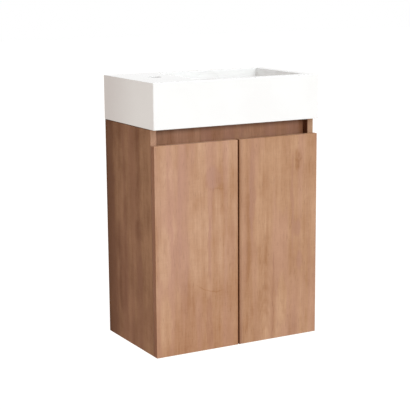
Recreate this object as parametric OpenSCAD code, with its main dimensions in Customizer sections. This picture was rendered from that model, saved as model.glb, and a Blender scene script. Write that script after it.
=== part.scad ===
// Wall-hung vanity unit: a two-door cabinet that hangs on two wall plates and carries a
// ceramic basin with a tap ledge on its left. The doors have no handles: they are opened at
// the finger recess above them, and each turns on two concealed cup hinges.
// The origin is the centre of the wall plates' four screw holes, on the wall plane.
// +X is to the right, -Y is the front and +Z is up. Sizes are in millimetres.

/* [Cabinet] */
// Width across the side panels
cab_w = 496; // [440:1:900]
// Height of the side panels
cab_h = 600; // [520:1:760]
// Depth from the wall to the panels' front edge
cab_d = 277; // [262:1:420]
// Thickness of the boards
board_t = 18; // [16:1:20]
// Chamfer that eases every board edge
edge_ease = 0.8; // [0.4:0.1:1.5]
// Height of the cabinet's top above the wall plates' screw pattern
plate_drop = 40; // [39:1:60]
// Height of the lower back rail
low_rail_h = 80; // [60:1:120]
// Height of the upper back rail
top_rail_h = 90; // [80:1:120]
// Distance of the upper back rail from the wall
top_rail_set = 22; // [20:1:34]

/* [Finger recess] */
// Height of the open recess above the doors
recess_h = 40; // [30:1:60]
// Distance of the recess rail behind the panels' front edge
recess_set = 20; // [16:1:36]
// Height of the recess rail
recess_rail_h = 80; // [70:1:110]

/* [Doors] */
// Thickness of the doors
door_t = 18; // [16:1:22]
// Gap between the two doors
door_gap = 3; // [2:0.5:6]
// Gap between the doors and the panels' front edges
door_clear = 2; // [1.8:0.1:3]
// Diameter of the door bumpers
bumper_d = 8; // [6:1:12]
// Distance of a bumper from the gap between the doors
bumper_in = 15; // [10:1:60]

/* [Shelf] */
// Height of the shelf's underside above the bottom panel
shelf_rise = 233; // [180:1:300]
// Distance of the shelf behind the panels' front edge
shelf_front_set = 15; // [10:1:60]
// Gap between the shelf and the wall
shelf_back_set = 22; // [20:1:60]
// Gap at each end of the shelf
shelf_end_gap = 0.8; // [0.4:0.1:1.5]
// Diameter of the shelf pins
shelf_pin_d = 5; // [4:0.5:6]
// Length of a shelf pin inside the panel
shelf_pin_in = 8; // [6:0.5:10]
// Distance between the shelf pin holes of a row
pin_pitch = 32; // [24:1:50]

/* [Knock-down fittings] */
// Diameter of the cams
cam_d = 15; // [12:1:20]
// Depth of the cams
cam_h = 12.4; // [12:0.1:13]
// Distance of a cam's centre from the end of its board
cam_in = 34; // [24:1:44]
// Diameter of a cam bolt's shank
cam_bolt_d = 5; // [4:0.5:6]
// Length of a cam bolt's thread in the side panel
cam_bolt_in = 10; // [8:0.5:12]
// Diameter of the wood dowels
dowel_d = 8; // [6:0.5:10]
// Length of a dowel in the side panel
dowel_in = 10; // [8:0.5:12]
// Length of a dowel in the board that it joins
dowel_out = 20; // [14:0.5:26]

/* [Hinges] */
// Height of a hinge from the nearer end of its door
hinge_in = 100; // [75:1:150]
// Diameter of the hinge cups
cup_d = 35; // [35:1:36]
// Depth of the hinge cups
cup_h = 11.4; // [11:0.1:12]
// Wood left between a cup and the door's outer edge
cup_edge = 5; // [4.5:0.1:5.5]
// Wall of the hinge cups
cup_wall = 0.8; // [0.6:0.1:1]
// Distance between the two screws of a cup
cup_screw_gap = 45; // [43:1:52]
// Diameter of the link pins
link_pin_d = 2.2; // [2:0.1:2.4]
// Width of the outer link over its two side plates
outer_link_w = 10.4; // [9.8:0.1:10.8]
// Width of the inner link
inner_link_w = 6.8; // [5:0.1:7]
// Thickness of the hinge sheet
sheet_t = 1.5; // [1.2:0.1:1.6]
// Distance of the plate screws behind the panels' front edge
plate_back = 37; // [34:1:40]
// Distance between the two screws of a mounting plate
plate_screw_gap = 32; // [28:1:40]

/* [Hangers and wall plates] */
// Height of a wall plate's flat part
wall_plate_h = 48; // [44:1:60]
// Width of a wall plate
wall_plate_w = 60; // [40:1:100]
// Thickness of the wall plates
wall_plate_t = 2; // [1.5:0.1:3]
// Height between the two screw holes of a wall plate
wall_screw_gap = 30; // [24:1:32]
// Diameter of the wall plates' screw holes
wall_hole_d = 6.5; // [5:0.1:8]
// Width of the hanger hooks
hook_w = 12; // [10:1:14]
// Thickness of the hanger hooks
hook_t = 3; // [2.5:0.1:3]
// Width of the hanger bodies
hanger_w = 20; // [18:1:26]
// Length of the hanger bodies
hanger_l = 44; // [40:1:60]

/* [Basin] */
// Height of the basin
basin_h = 120; // [105:1:160]
// Distance that the basin stands out past each side panel
basin_over_side = 2; // [0:0.5:4]
// Distance that the basin stands out past the doors
basin_over_front = 3; // [0:0.5:20]
// Thickness of the silicone bead under the basin
bead_t = 1; // [0.5:0.1:2]
// Width of the tap ledge, from the basin's left edge to the bowl
ledge_w = 150; // [120:1:180]
// Width of the rim at the right of the bowl
rim_right = 30; // [25:1:60]
// Width of the rim in front of the bowl
rim_front = 30; // [25:1:60]
// Width of the rim behind the bowl
rim_back = 25; // [24:1:60]
// Depth of the bowl at the waste hole
bowl_depth = 90; // [75:1:95]
// Radius of the bowl's upright corners
bowl_corner_r = 5; // [4:1:30]
// Radius between the bowl's walls and its floor
bowl_floor_r = 22; // [14:1:30]
// Fall of the bowl's floor for each millimetre towards the waste hole
floor_fall = 0.05; // [0.02:0.01:0.06]
// Thickness of the ceramic around the bowl and under the ledge
ceramic_t = 12; // [9:1:13]
// Thickness of the basin's outer walls
apron_t = 14; // [12:1:16]
// Radius of the basin's upright corners
basin_corner_r = 3; // [2:0.5:8]
// Chamfer along the basin's top and bottom edges
basin_ease = 1.2; // [0.6:0.1:2]
// Diameter of the tap hole
tap_hole_d = 35; // [32:0.5:36]
// Distance of the tap hole from the basin's left edge
tap_hole_in = 85; // [60:1:95]
// Distance of the tap hole from the wall
tap_hole_back = 140; // [80:1:200]
// Diameter of the waste hole
waste_hole_d = 45; // [40:1:48]
// Length of the waste hole
waste_hole_l = 24; // [18:1:28]
// Width of the overflow slot
overflow_w = 60; // [30:1:80]
// Height of the overflow slot
overflow_h = 7; // [6:0.5:12]
// Depth of the overflow slot's middle below the rim
overflow_drop = 28; // [9:1:30]

/* [Hidden] */
$fn = 64;

// Clearances
fit = 0.1;          // around a pin, screw or cup in its hole
run = 0.05;         // between a link pin and the eye that turns on it
gap = 0.3;          // between parts that lie against each other or slide past
cut = 1;            // how far a cut runs past the face that it opens

// Cabinet planes
x_out = cab_w / 2;
x_in = x_out - board_t;
z_top = plate_drop;
z_bot = z_top - cab_h;
y_front = -cab_d;

// Recess rail
recess_y = y_front + recess_set;
recess_z = z_top - recess_rail_h;

// Upper back rail
top_rail_front = -(top_rail_set + board_t);
top_rail_z = z_top - top_rail_h;

// Doors: the hinge frame's x starts at the door's outer edge and its y at the back face
y_door = y_front - door_clear;
door_w = (cab_w - door_gap) / 2;
door_h = cab_h - recess_h;
hinge_z = [z_bot + hinge_in, z_bot + door_h - hinge_in];
bumper_t = door_clear - gap;

// Shelf
shelf_z = z_bot + board_t + shelf_rise;
shelf_pin_set = 30;                 // from the shelf's edge to its row of pins
shelf_pin_y = [y_front + shelf_front_set + shelf_pin_set, -(shelf_back_set + shelf_pin_set)];
tongue = [9, 8, 2];

// Distance of the cams and dowels from the edge of their board
bottom_cam_set = 50;
bottom_dowel_set = 100;
recess_cam_set = 25;
recess_dowel_set = 56;
top_cam_set = 20;
top_dowel_set = 46;
low_cam_set = 22;
low_dowel_set = 50;
// Joints between the boards and the side panels: [y, z, turn of the cam's mouth]
board_mid = board_t / 2;
cam_places = [
    [-bottom_cam_set, z_bot + board_mid, 180],
    [y_front + bottom_cam_set, z_bot + board_mid, 180],
    [recess_y + board_mid, recess_z + recess_cam_set, -90],
    [top_rail_front + board_mid, top_rail_z + top_cam_set, -90],
    [-board_mid, z_bot + board_t + low_cam_set, 90]
];
// Dowels beside them: [y, z]
dowel_places = [
    [-bottom_dowel_set, z_bot + board_mid],
    [y_front + bottom_dowel_set, z_bot + board_mid],
    [recess_y + board_mid, recess_z + recess_dowel_set],
    [top_rail_front + board_mid, top_rail_z + top_dowel_set],
    [-board_mid, z_bot + board_t + low_dowel_set]
];
cam_bore = cam_h + 0.2;
cam_bolt_head_d = 7;
cam_bolt_thread_d = 6;

// Hinge links, as [distance from the door's outer edge, distance behind its back face].
// The outer link turns on the arm's rear pin and carries the door at the cup's edge pin;
// the inner link turns on the arm's front pin and its far eye is open round the cup's deep pin.
arm_rear_pin = [39.2, 20.8];
arm_front_pin = [33.6, -8.0];
cup_edge_pin = [9.6, -1.6];
cup_deep_pin = [14.7, -4.8];
outer_bend = [36.3, 0];
inner_eye = [15.0, -6.0];
inner_eye_play = 1.4;
link_half = 1.6;
eye_wall = 1;
arm_tip_r = 2.3;
link_r = link_pin_d / 2;
eye_r = link_r + eye_wall;
inner_eye_hole_r = link_r + inner_eye_play;
inner_eye_r = inner_eye_hole_r + eye_wall;
arm_in = outer_link_w / 2 + gap;
arm_out = arm_in + sheet_t;
cheek_in = arm_out + gap;

// Hinge cup, in the same frame
cup_u = cup_edge + cup_d / 2;
cup_r = cup_d / 2;
ear_off = 9.5;                      // from the cup's centre to its screws
ear_u = cup_u + ear_off;
ear_half = 5;
ear_end = 6;                        // from a screw to the end of its ear
ear_t = 1.2;
cup_floor = cup_wall;
cheek_top = -0.2;
cheek_past = 5;
cheek_end = cup_deep_pin[0] + cheek_past;
pin_end = 2;                        // how far the cup's pins go into its cheeks
cup_screw_d = 3.5;
cup_screw_l = 11;
cup_head = [6.8, 1.8];

// Mounting plate and arm
plate_t = 2.5;
plate_u = board_t + plate_t;
plate_v = door_clear + plate_back;
rib_top = 34.2;
web_u = rib_top + gap;
plate_end = 8;                      // from a plate screw to the plate's edges
plate_half = 9;
arm_start = 2;                      // from the plate screws back to the arm's web
arm_reach = 45;                     // and to the arm's back end
arm_back = plate_v + arm_reach;
cheek_low = 4;                      // from the plate up to the arm's cheeks
neck_in = 2.5;
neck_back = 5;
arm_neck = [web_u - neck_in, plate_v + neck_back];
neck_r = 3.5;
rib_ahead = 3;
rib_back = 2;
rib_v = plate_v - rib_ahead;
plate_screw_d = 5;
plate_screw_l = 12.5;
plate_head = [7.8, 2.2];
fix_back = 33;
adjust_back = 15;
fix_v = plate_v + fix_back;
adjust_v = plate_v + adjust_back;
arm_screw_d = 4.8;

// Hangers and wall plates
step = [9, 12];                     // how far a wall plate's lip stands out and up
plate_in = 2;                       // from the side panel to the wall plate
lip_z = wall_plate_h / 2 + step[1] - wall_plate_t;
hook_z = lip_z + gap;
hook_u = board_t + (hanger_w - hook_w) / 2;
plate_x = -x_in + plate_in;         // outer end of the left wall plate
wall_screw_x = x_in - plate_in - wall_plate_w / 2;
hook_back = -(step[0] - wall_plate_t - gap - hook_t);
hanger_y = top_rail_front - gap;
hanger_front = hanger_y - hanger_l;
hanger_roof = 1.6;                  // wall of the hanger body over its hook
hanger_h = 49;
hanger_top = max(hook_z + hook_t + hanger_roof, z_top - edge_ease - 0.2);
hanger_bot = hanger_top - hanger_h;
hook_in = 26;
hook_tail = 8;                      // how far the hook's end hangs behind the lip
fix_in = 8;
fix_off = 12;
hanger_fix = [[hanger_y - fix_off, hanger_bot + fix_in], [hanger_front + fix_in, hanger_bot + fix_in]];
hanger_fix_head = [8, 2.4];
hanger_fix_d = 4;
hanger_fix_l = 12;
hanger_base = 6;
adjust_up = [19, 33];
hanger_adjust_z = [hanger_bot + adjust_up[0], hanger_bot + adjust_up[1]];
hanger_adjust = [6.4, 2.5, 4.4, 22]; // head diameter and length, shank diameter and length

// Basin
bx = x_out + basin_over_side;
by = -y_door + door_t + basin_over_front;
z_seat = z_top + bead_t;
z_rim = z_seat + basin_h;
bowl_x0 = -bx + ledge_w;
bowl_x1 = bx - rim_right;
bowl_y0 = -by + rim_front;
bowl_y1 = -rim_back;
waste = [(bowl_x0 + bowl_x1) / 2, (bowl_y0 + bowl_y1) / 2];
bowl_z = z_rim - bowl_depth;
waste_boss_r = waste_hole_d / 2 + ceramic_t;
overflow_wall = 5;
overflow_y = [-rim_back + overflow_wall, -apron_t];
cone_h = 12;

// Shapes

// A rectangle with cut corners
module cut_rect(w, h, c)
    polygon([[c, 0], [w - c, 0], [w, c], [w, h - c], [w - c, h], [c, h], [0, h - c], [0, c]]);

// A rectangle with round corners
module round_rect(w, h, r) {
    translate([r, 0]) square([w - 2 * r, h]);
    translate([0, r]) square([w, h - 2 * r]);
    for (x = [r, w - r], y = [r, h - r]) translate([x, y]) circle(r);
}

// A rectangle whose lower corners are arcs of n steps
module tub_rect(w, h, r, n = 6)
    polygon(concat(
        [[0, h]],
        [for (i = [0:n]) [r - r * cos(90 * i / n), r - r * sin(90 * i / n)]],
        [for (i = [n:-1:0]) [w - r + r * cos(90 * i / n), r - r * sin(90 * i / n)]],
        [[w, h]]));

// Puts a drawing upright: across X and Z, with its depth along Y from y0 to y1
module upright_x(y0, y1) translate([0, y1, 0]) rotate([90, 0, 0]) linear_extrude(y1 - y0) children();

// Puts a drawing upright: across Y and Z, with its depth along X from x0 to x1
module upright_y(x0, x1)
    translate([x0, 0, 0]) rotate([90, 0, 90]) linear_extrude(x1 - x0) children();

// A board between two corners, with every edge eased
module board(a, b, c = edge_ease) {
    s = b - a;
    intersection() {
        translate(a) linear_extrude(s[2]) cut_rect(s[0], s[1], c);
        upright_x(a[1], b[1]) translate([a[0], a[2]]) cut_rect(s[0], s[2], c);
        upright_y(a[0], b[0]) translate([a[1], a[2]]) cut_rect(s[1], s[2], c);
    }
}

module block(a, b) translate(a) cube(b - a);

// A flat bar with round ends from p to q
module bar(p, q, r) {
    d = q - p;
    translate(p) circle(r);
    translate(q) circle(r);
    translate(p) rotate(atan2(d[1], d[0])) translate([0, -r]) square([norm(d), 2 * r]);
}

// A round rod along X from x = a to x = b
module rod_x(d, a, b) translate([a, 0, 0]) rotate([0, 90, 0]) cylinder(d = d, h = b - a);

// A round rod along Y from y = a to y = b
module rod_y(d, a, b) translate([0, b, 0]) rotate([90, 0, 0]) cylinder(d = d, h = b - a);

// Makes the left one and its mirror image at the right
module both_sides() {
    children();
    mirror([1, 0, 0]) children();
}

// Places

module at_cams()
    for (p = cam_places) translate([-x_in, p[0], p[1]]) rotate([p[2], 0, 0]) children();

module at_dowels() for (p = dowel_places) translate([-x_in, p[0], p[1]]) children();

module at_shelf_pins(rows = [0])
    for (y = shelf_pin_y, k = rows)
        translate([-x_in, y, shelf_z - tongue[2] - shelf_pin_d / 2 + k * pin_pitch]) children();

// The hinge frame of the left door's two hinges
module at_hinges() for (z = hinge_z) translate([-x_out, y_door, z]) children();

module at_cup_screws()
    for (w = [-1, 1] * cup_screw_gap / 2) translate([ear_u, 0, w]) children();

module at_plate_screws()
    for (w = [-1, 1] * plate_screw_gap / 2) translate([0, plate_v, w]) children();

module at_hanger_fixings()
    for (p = hanger_fix) translate([-x_out, p[0], p[1]]) children();

// Carcass

module cam_cuts() {
    translate([cam_in, 0, board_mid - cam_bore]) cylinder(d = cam_d + 2 * fit, h = cam_bore + cut);
    rod_x(cam_bolt_head_d + 2 * fit, -cut, cam_in);
}

module dowel_cut() rod_x(dowel_d + 2 * fit, -dowel_in - gap, dowel_out + gap);

module side_panel() difference() {
    board([-x_out, y_front, z_bot], [-x_in, 0, z_top]);
    at_cams() rod_x(cam_bolt_thread_d + 2 * fit, -cam_bolt_in - gap, cut);
    at_dowels() dowel_cut();
    at_shelf_pins([-1, 0, 1]) rod_x(shelf_pin_d + 2 * fit, -shelf_pin_in - gap, cut);
    at_hinges() at_plate_screws()
        rod_x(plate_screw_d + 2 * fit, board_t - plate_screw_l - gap, board_t + cut);
    at_hanger_fixings()
        rod_x(hanger_fix_d + 2 * fit, board_t - hanger_fix_l - gap, board_t + cut);
}

// A board that the side panels hold at both ends
module held_board(a, b) difference() {
    board(a, b);
    both_sides() {
        at_cams() cam_cuts();
        at_dowels() dowel_cut();
    }
}

module side_panel_left() color("tan") side_panel();

module side_panel_right() color("tan") mirror([1, 0, 0]) side_panel();

module bottom_panel() color("tan")
    held_board([-x_in, y_front, z_bot], [x_in, 0, z_bot + board_t]);

module recess_rail() color("tan")
    held_board([-x_in, recess_y, recess_z], [x_in, recess_y + board_t, z_top]);

module hanging_rail() color("tan") difference() {
    held_board([-x_in, top_rail_front, top_rail_z], [x_in, -top_rail_set, z_top]);
    both_sides()
        block([-x_out + hook_u - 1, top_rail_front - cut, hook_z - 1],
              [-x_out + hook_u + hook_w + 1, -top_rail_set + cut, z_top + cut]);
}

module lower_back_rail() color("tan")
    held_board([-x_in, -board_t, z_bot + board_t], [x_in, 0, z_bot + board_t + low_rail_h]);

module shelf() color("tan")
    board([-x_in + shelf_end_gap, y_front + shelf_front_set, shelf_z],
          [x_in - shelf_end_gap, -shelf_back_set, shelf_z + board_t]);

module shelf_pins() color("silver") both_sides() at_shelf_pins() {
    rod_x(shelf_pin_d, -shelf_pin_in, 0.5);
    rod_x(shelf_pin_d + 2, 0, 1.5);
    block([0, -tongue[1] / 2, shelf_pin_d / 2], [tongue[0], tongue[1] / 2, shelf_pin_d / 2 + tongue[2]]);
    block([0, -1.5, -shelf_pin_d / 2], [3, 1.5, shelf_pin_d / 2 + 0.5]);
}

module cam_locks() color("silver") both_sides() at_cams() translate([cam_in, 0, 0]) difference() {
    translate([0, 0, board_mid - cam_h - gap / 2]) cylinder(d = cam_d, h = cam_h);
    rod_x(cam_bolt_head_d + 4 * fit, -cam_d, cam_bolt_head_d / 2);
    translate([0, 0, board_mid]) cube([cam_d * 0.5, 1.2, 3], center = true);
    translate([0, 0, board_mid]) cube([1.2, cam_d * 0.5, 3], center = true);
}

module cam_bolts() color("silver") both_sides() at_cams() {
    rod_x(cam_bolt_thread_d, -cam_bolt_in, 0.5);
    rod_x(cam_bolt_head_d, 0, 1.5);
    rod_x(cam_bolt_d, 0, cam_in);
    rod_x(cam_bolt_head_d, cam_in - 3, cam_in + 1);
}

module wood_dowels() color("burlywood") both_sides() at_dowels()
    rod_x(dowel_d, -dowel_in, dowel_out);

module door_bumpers() color("whitesmoke") both_sides()
    translate([-(door_gap / 2 + bumper_in), 0, z_bot + board_mid])
        rod_y(bumper_d, y_front - bumper_t, y_front);

// Hangers

module hanger_bodies() color("lightgray") both_sides() translate([-x_out, 0, 0]) difference() {
    block([board_t, hanger_front, hanger_bot], [board_t + hanger_w, hanger_y, hanger_top]);
    block([hook_u - gap, hanger_y - hook_in - gap, hook_z - gap],
          [hook_u + hook_w + gap, hanger_y + cut, hook_z + hook_t + gap]);
    for (p = hanger_fix) translate([0, p[0], p[1]]) {
        rod_x(hanger_fix_d + 2 * fit, 0, board_t + hanger_base + cut);
        rod_x(hanger_fix_head[0] + 2 * gap, board_t + hanger_base, board_t + hanger_w + cut);
    }
    for (z = hanger_adjust_z) translate([board_t + hanger_w / 2, 0, z])
        rod_y(hanger_adjust[2] + 2 * fit, hanger_front - cut, hanger_front + hanger_adjust[3] + gap);
}

module hanger_hooks() color("silver") both_sides() translate([-x_out, 0, 0]) {
    block([hook_u, hanger_y - hook_in, hook_z], [hook_u + hook_w, hook_back, hook_z + hook_t]);
    block([hook_u, hook_back - hook_t, hook_z - hook_tail], [hook_u + hook_w, hook_back, hook_z + hook_t]);
}

module hanger_adjusting_screws() color("silver") both_sides()
    for (z = hanger_adjust_z) translate([-x_out + board_t + hanger_w / 2, 0, z]) difference() {
        union() {
            rod_y(hanger_adjust[2], hanger_front - 0.5, hanger_front + hanger_adjust[3]);
            rod_y(hanger_adjust[0], hanger_front - hanger_adjust[1], hanger_front);
        }
        translate([0, hanger_front - hanger_adjust[1], 0]) cube([4, 2, 0.9], center = true);
        translate([0, hanger_front - hanger_adjust[1], 0]) cube([0.9, 2, 4], center = true);
    }

module hanger_fixing_screws() color("silver") both_sides() at_hanger_fixings() difference() {
    union() {
        rod_x(hanger_fix_d, board_t - hanger_fix_l, board_t + hanger_base + 0.5);
        rod_x(hanger_fix_head[0], board_t + hanger_base, board_t + hanger_base + hanger_fix_head[1]);
    }
    translate([board_t + hanger_base + hanger_fix_head[1], 0, 0]) {
        cube([2, 4.5, 1], center = true);
        cube([2, 1, 4.5], center = true);
    }
}

module wall_plates() color("silver") both_sides() difference() {
    union() {
        block([plate_x, -wall_plate_t, -wall_plate_h / 2],
              [plate_x + wall_plate_w, 0, wall_plate_h / 2]);
        block([plate_x, -step[0], wall_plate_h / 2 - wall_plate_t],
              [plate_x + wall_plate_w, 0, wall_plate_h / 2]);
        block([plate_x, -step[0], wall_plate_h / 2 - wall_plate_t],
              [plate_x + wall_plate_w, -step[0] + wall_plate_t, lip_z]);
    }
    for (z = [-1, 1] * wall_screw_gap / 2) translate([-wall_screw_x, 0, z])
        rod_y(wall_hole_d, -wall_plate_t - cut, cut);
}

// Basin

// The space inside the bowl, with a floor that falls to the waste hole
module bowl() intersection() {
    translate([bowl_x0, bowl_y0, bowl_z])
        linear_extrude(bowl_depth + cut)
            round_rect(bowl_x1 - bowl_x0, bowl_y1 - bowl_y0, bowl_corner_r);
    upright_x(bowl_y0 - cut, bowl_y1 + cut) translate([bowl_x0, bowl_z])
        tub_rect(bowl_x1 - bowl_x0, bowl_depth + cut, bowl_floor_r);
    upright_y(bowl_x0 - cut, bowl_x1 + cut) translate([bowl_y0, bowl_z])
        tub_rect(bowl_y1 - bowl_y0, bowl_depth + cut, bowl_floor_r);
    translate([waste[0], waste[1], bowl_z]) {
        cylinder(r1 = waste_hole_d / 2, r2 = waste_hole_d / 2 + cone_h / floor_fall, h = cone_h, $fn = 128);
        translate([-cab_w, -cab_w, cone_h]) cube([2 * cab_w, 2 * cab_w, bowl_depth]);
    }
}

// The overflow slot and the channel that leads down from it inside the back wall
module overflow() {
    half = overflow_w / 2;
    z = z_rim - overflow_drop;
    upright_x(bowl_y1 - cut, overflow_y[0] + cut)
        bar([waste[0] - half + overflow_h / 2, z], [waste[0] + half - overflow_h / 2, z], overflow_h / 2);
    block([waste[0] - half, overflow_y[0], bowl_z - ceramic_t - cut],
          [waste[0] + half, overflow_y[1], z + overflow_h / 2]);
}

module basin() color("white") difference() {
    intersection() {
        translate([-bx, -by, z_seat]) linear_extrude(basin_h) round_rect(2 * bx, by, basin_corner_r);
        upright_x(-by, 0) translate([-bx, z_seat]) cut_rect(2 * bx, basin_h, basin_ease);
        upright_y(-bx, bx) translate([-by, z_seat]) cut_rect(by, basin_h, basin_ease);
    }
    bowl();
    block([-bx + apron_t, -by + apron_t, z_seat - cut],
          [bowl_x0 - ceramic_t, -apron_t, z_rim - ceramic_t]);
    difference() {
        block([bowl_x0 - ceramic_t - cut, -by + apron_t, z_seat - cut],
              [bx - apron_t, -apron_t, bowl_z - ceramic_t]);
        translate([waste[0], waste[1], bowl_z - waste_hole_l])
            cylinder(r = waste_boss_r, h = waste_hole_l);
    }
    translate([-bx + tap_hole_in, -tap_hole_back, z_rim - ceramic_t - cut])
        cylinder(d = tap_hole_d, h = ceramic_t + 2 * cut);
    translate([waste[0], waste[1], bowl_z - waste_hole_l - cut])
        cylinder(d = waste_hole_d, h = waste_hole_l + 2 * cut);
    overflow();
}

module basin_sealant() color("gainsboro") both_sides()
    block([-min(bx, x_out) + basin_ease + edge_ease, y_front + 2 * edge_ease, z_top],
          [-max(bx - apron_t, x_in) - basin_ease, -2 * edge_ease, z_seat]);

// Door and hinges, drawn at the left and mirrored for the right

module door() difference() {
    board([-x_out, y_door - door_t, z_bot], [-x_out + door_w, y_door, z_bot + door_h]);
    at_hinges() {
        translate([cup_u, 0, 0]) rod_y(cup_d + 2 * fit, -cup_h - gap, cut);
        at_cup_screws() rod_y(cup_screw_d + 2 * fit, -cup_screw_l - gap, cut);
    }
}

module hinge_cup() difference() {
    union() {
        translate([cup_u, 0, 0]) difference() {
            rod_y(cup_d, -cup_h, 0);
            rod_y(cup_d - 2 * cup_wall, -cup_h + cup_floor, cut);
        }
        intersection() {
            translate([cup_u, 0, 0]) rod_y(cup_d - cup_wall, -cup_h, cheek_top);
            for (s = [0, 1]) mirror([0, 0, s])
                block([0, -cup_h, cheek_in], [cheek_end, cheek_top, cup_r]);
        }
        difference() {
            for (s = [0, 1]) mirror([0, 0, s])
                block([ear_u - ear_half, 0, cheek_in + gap],
                      [ear_u + ear_half, ear_t, cup_screw_gap / 2 + ear_end]);
            translate([cup_u, 0, 0]) rod_y(cup_d - 2 * cup_wall, -cut, ear_t + cut);
        }
    }
    for (p = [cup_edge_pin, cup_deep_pin]) translate([p[0], p[1], 0])
        cylinder(r = link_r + run, h = 2 * (cheek_in + pin_end) + gap, center = true);
    at_cup_screws() rod_y(cup_screw_d + 4 * fit, -cut, ear_t + cut);
}

module cup_screw() difference() {
    union() {
        rod_y(cup_screw_d, -cup_screw_l, ear_t + 0.5);
        rod_y(cup_head[0], ear_t, ear_t + cup_head[1]);
    }
    translate([0, ear_t + cup_head[1], 0]) {
        cube([3.6, 1.6, 0.8], center = true);
        cube([0.8, 1.6, 3.6], center = true);
    }
}

module link_pin(p, half) translate([p[0], p[1], 0]) cylinder(r = link_r, h = 2 * half, center = true);

module outer_link() {
    d = outer_bend - cup_edge_pin;
    for (s = [0, 1]) mirror([0, 0, s]) translate([0, 0, outer_link_w / 2 - sheet_t])
        linear_extrude(sheet_t) difference() {
            union() {
                bar(cup_edge_pin, outer_bend, link_half);
                bar(outer_bend, arm_rear_pin, link_half);
                for (p = [cup_edge_pin, arm_rear_pin]) translate(p) circle(eye_r);
            }
            for (p = [cup_edge_pin, arm_rear_pin]) translate(p) circle(link_r + run);
        }
    translate([0, 0, -outer_link_w / 2]) linear_extrude(outer_link_w)
        translate(cup_edge_pin) rotate(atan2(d[1], d[0]))
            translate([norm(d) * 0.3, link_half - 1]) square([norm(d) * 0.5, 1]);
}

module inner_link() translate([0, 0, -inner_link_w / 2]) linear_extrude(inner_link_w) difference() {
    union() {
        bar(inner_eye, arm_front_pin, link_half);
        translate(inner_eye) circle(inner_eye_r);
        translate(arm_front_pin) circle(eye_r);
    }
    translate(inner_eye) circle(inner_eye_hole_r);
    translate(arm_front_pin) circle(link_r + run);
}

module hinge_arm() difference() {
    union() {
        for (s = [0, 1]) mirror([0, 0, s]) translate([0, 0, arm_in]) linear_extrude(sheet_t) {
            bar(arm_front_pin, arm_rear_pin, arm_tip_r);
            bar(arm_rear_pin, arm_neck, neck_r);
            translate([plate_u + cheek_low, plate_v + arm_start])
                square([web_u + sheet_t - plate_u - cheek_low, arm_reach - arm_start]);
        }
        block([web_u, plate_v + arm_start, -arm_out], [web_u + sheet_t, arm_back, arm_out]);
    }
    for (p = [arm_front_pin, arm_rear_pin]) translate([p[0], p[1], 0])
        cylinder(r = link_r + run, h = 4 * arm_out, center = true);
    for (v = [fix_v, adjust_v]) translate([0, v, 0])
        rod_x(arm_screw_d + 2 * fit, web_u - gap / 2, web_u + sheet_t + cut);
}

module mounting_plate() difference() {
    union() {
        block([board_t, plate_v - plate_end, -plate_screw_gap / 2 - plate_end],
              [plate_u, plate_v + plate_end, plate_screw_gap / 2 + plate_end]);
        block([board_t, rib_v, -plate_half], [plate_u, arm_back, plate_half]);
        block([board_t, rib_v, -arm_in + gap], [rib_top, arm_back - rib_back, arm_in - gap]);
    }
    at_plate_screws() rod_x(plate_screw_d + 2 * fit, board_t - cut, plate_u + cut);
    translate([0, fix_v, 0]) rod_x(arm_screw_d + 2 * fit, plate_u, rib_top + cut);
}

module plate_screw() difference() {
    union() {
        rod_x(plate_screw_d, board_t - plate_screw_l, plate_u + 0.5);
        rod_x(plate_head[0], plate_u, plate_u + plate_head[1]);
    }
    translate([plate_u + plate_head[1], 0, 0]) {
        cube([2, 4.4, 1], center = true);
        cube([2, 1, 4.4], center = true);
    }
}

module arm_screw_pair() {
    top = web_u + sheet_t;
    translate([0, fix_v, 0]) difference() {
        union() {
            rod_x(arm_screw_d, plate_u + 1, top + 0.5);
            rod_x(plate_head[0], top, top + plate_head[1]);
        }
        translate([top + plate_head[1], 0, 0]) {
            cube([2, 4.4, 1], center = true);
            cube([2, 1, 4.4], center = true);
        }
    }
    translate([0, adjust_v, 0]) difference() {
        rod_x(arm_screw_d, web_u, top + 1.2);
        translate([top + 1.2, 0, 0]) cube([1.6, 3.4, 0.9], center = true);
    }
}

module door_left() color("burlywood") door();
module hinge_cups_left() color("silver") at_hinges() hinge_cup();
module cup_screws_left() color("silver") at_hinges() at_cup_screws() cup_screw();
module cup_pins_left() color("silver") at_hinges() {
    link_pin(cup_edge_pin, cheek_in + pin_end);
    link_pin(cup_deep_pin, cheek_in + pin_end);
}
module outer_links_left() color("silver") at_hinges() outer_link();
module inner_links_left() color("silver") at_hinges() inner_link();
module hinge_arms_left() color("silver") at_hinges() hinge_arm();
module arm_pins_left() color("silver") at_hinges() {
    link_pin(arm_rear_pin, arm_out);
    link_pin(arm_front_pin, arm_out);
}
module mounting_plates_left() color("silver") at_hinges() mounting_plate();
module plate_screws_left() color("silver") at_hinges() at_plate_screws() plate_screw();
module arm_screws_left() color("silver") at_hinges() arm_screw_pair();

module at_right() mirror([1, 0, 0]) children();

side_panel_left();
side_panel_right();
bottom_panel();
recess_rail();
hanging_rail();
lower_back_rail();
shelf();
shelf_pins();
cam_locks();
cam_bolts();
wood_dowels();
hanger_bodies();
hanger_hooks();
hanger_adjusting_screws();
hanger_fixing_screws();
wall_plates();
basin();
basin_sealant();
door_bumpers();
door_left();
hinge_cups_left();
cup_screws_left();
cup_pins_left();
outer_links_left();
inner_links_left();
hinge_arms_left();
arm_pins_left();
mounting_plates_left();
plate_screws_left();
arm_screws_left();
at_right() door_left();  // door_right
at_right() hinge_cups_left();  // hinge_cups_right
at_right() cup_screws_left();  // cup_screws_right
at_right() cup_pins_left();  // cup_pins_right
at_right() outer_links_left();  // outer_links_right
at_right() inner_links_left();  // inner_links_right
at_right() hinge_arms_left();  // hinge_arms_right
at_right() arm_pins_left();  // arm_pins_right
at_right() mounting_plates_left();  // mounting_plates_right
at_right() plate_screws_left();  // plate_screws_right
at_right() arm_screws_left();  // arm_screws_right
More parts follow.
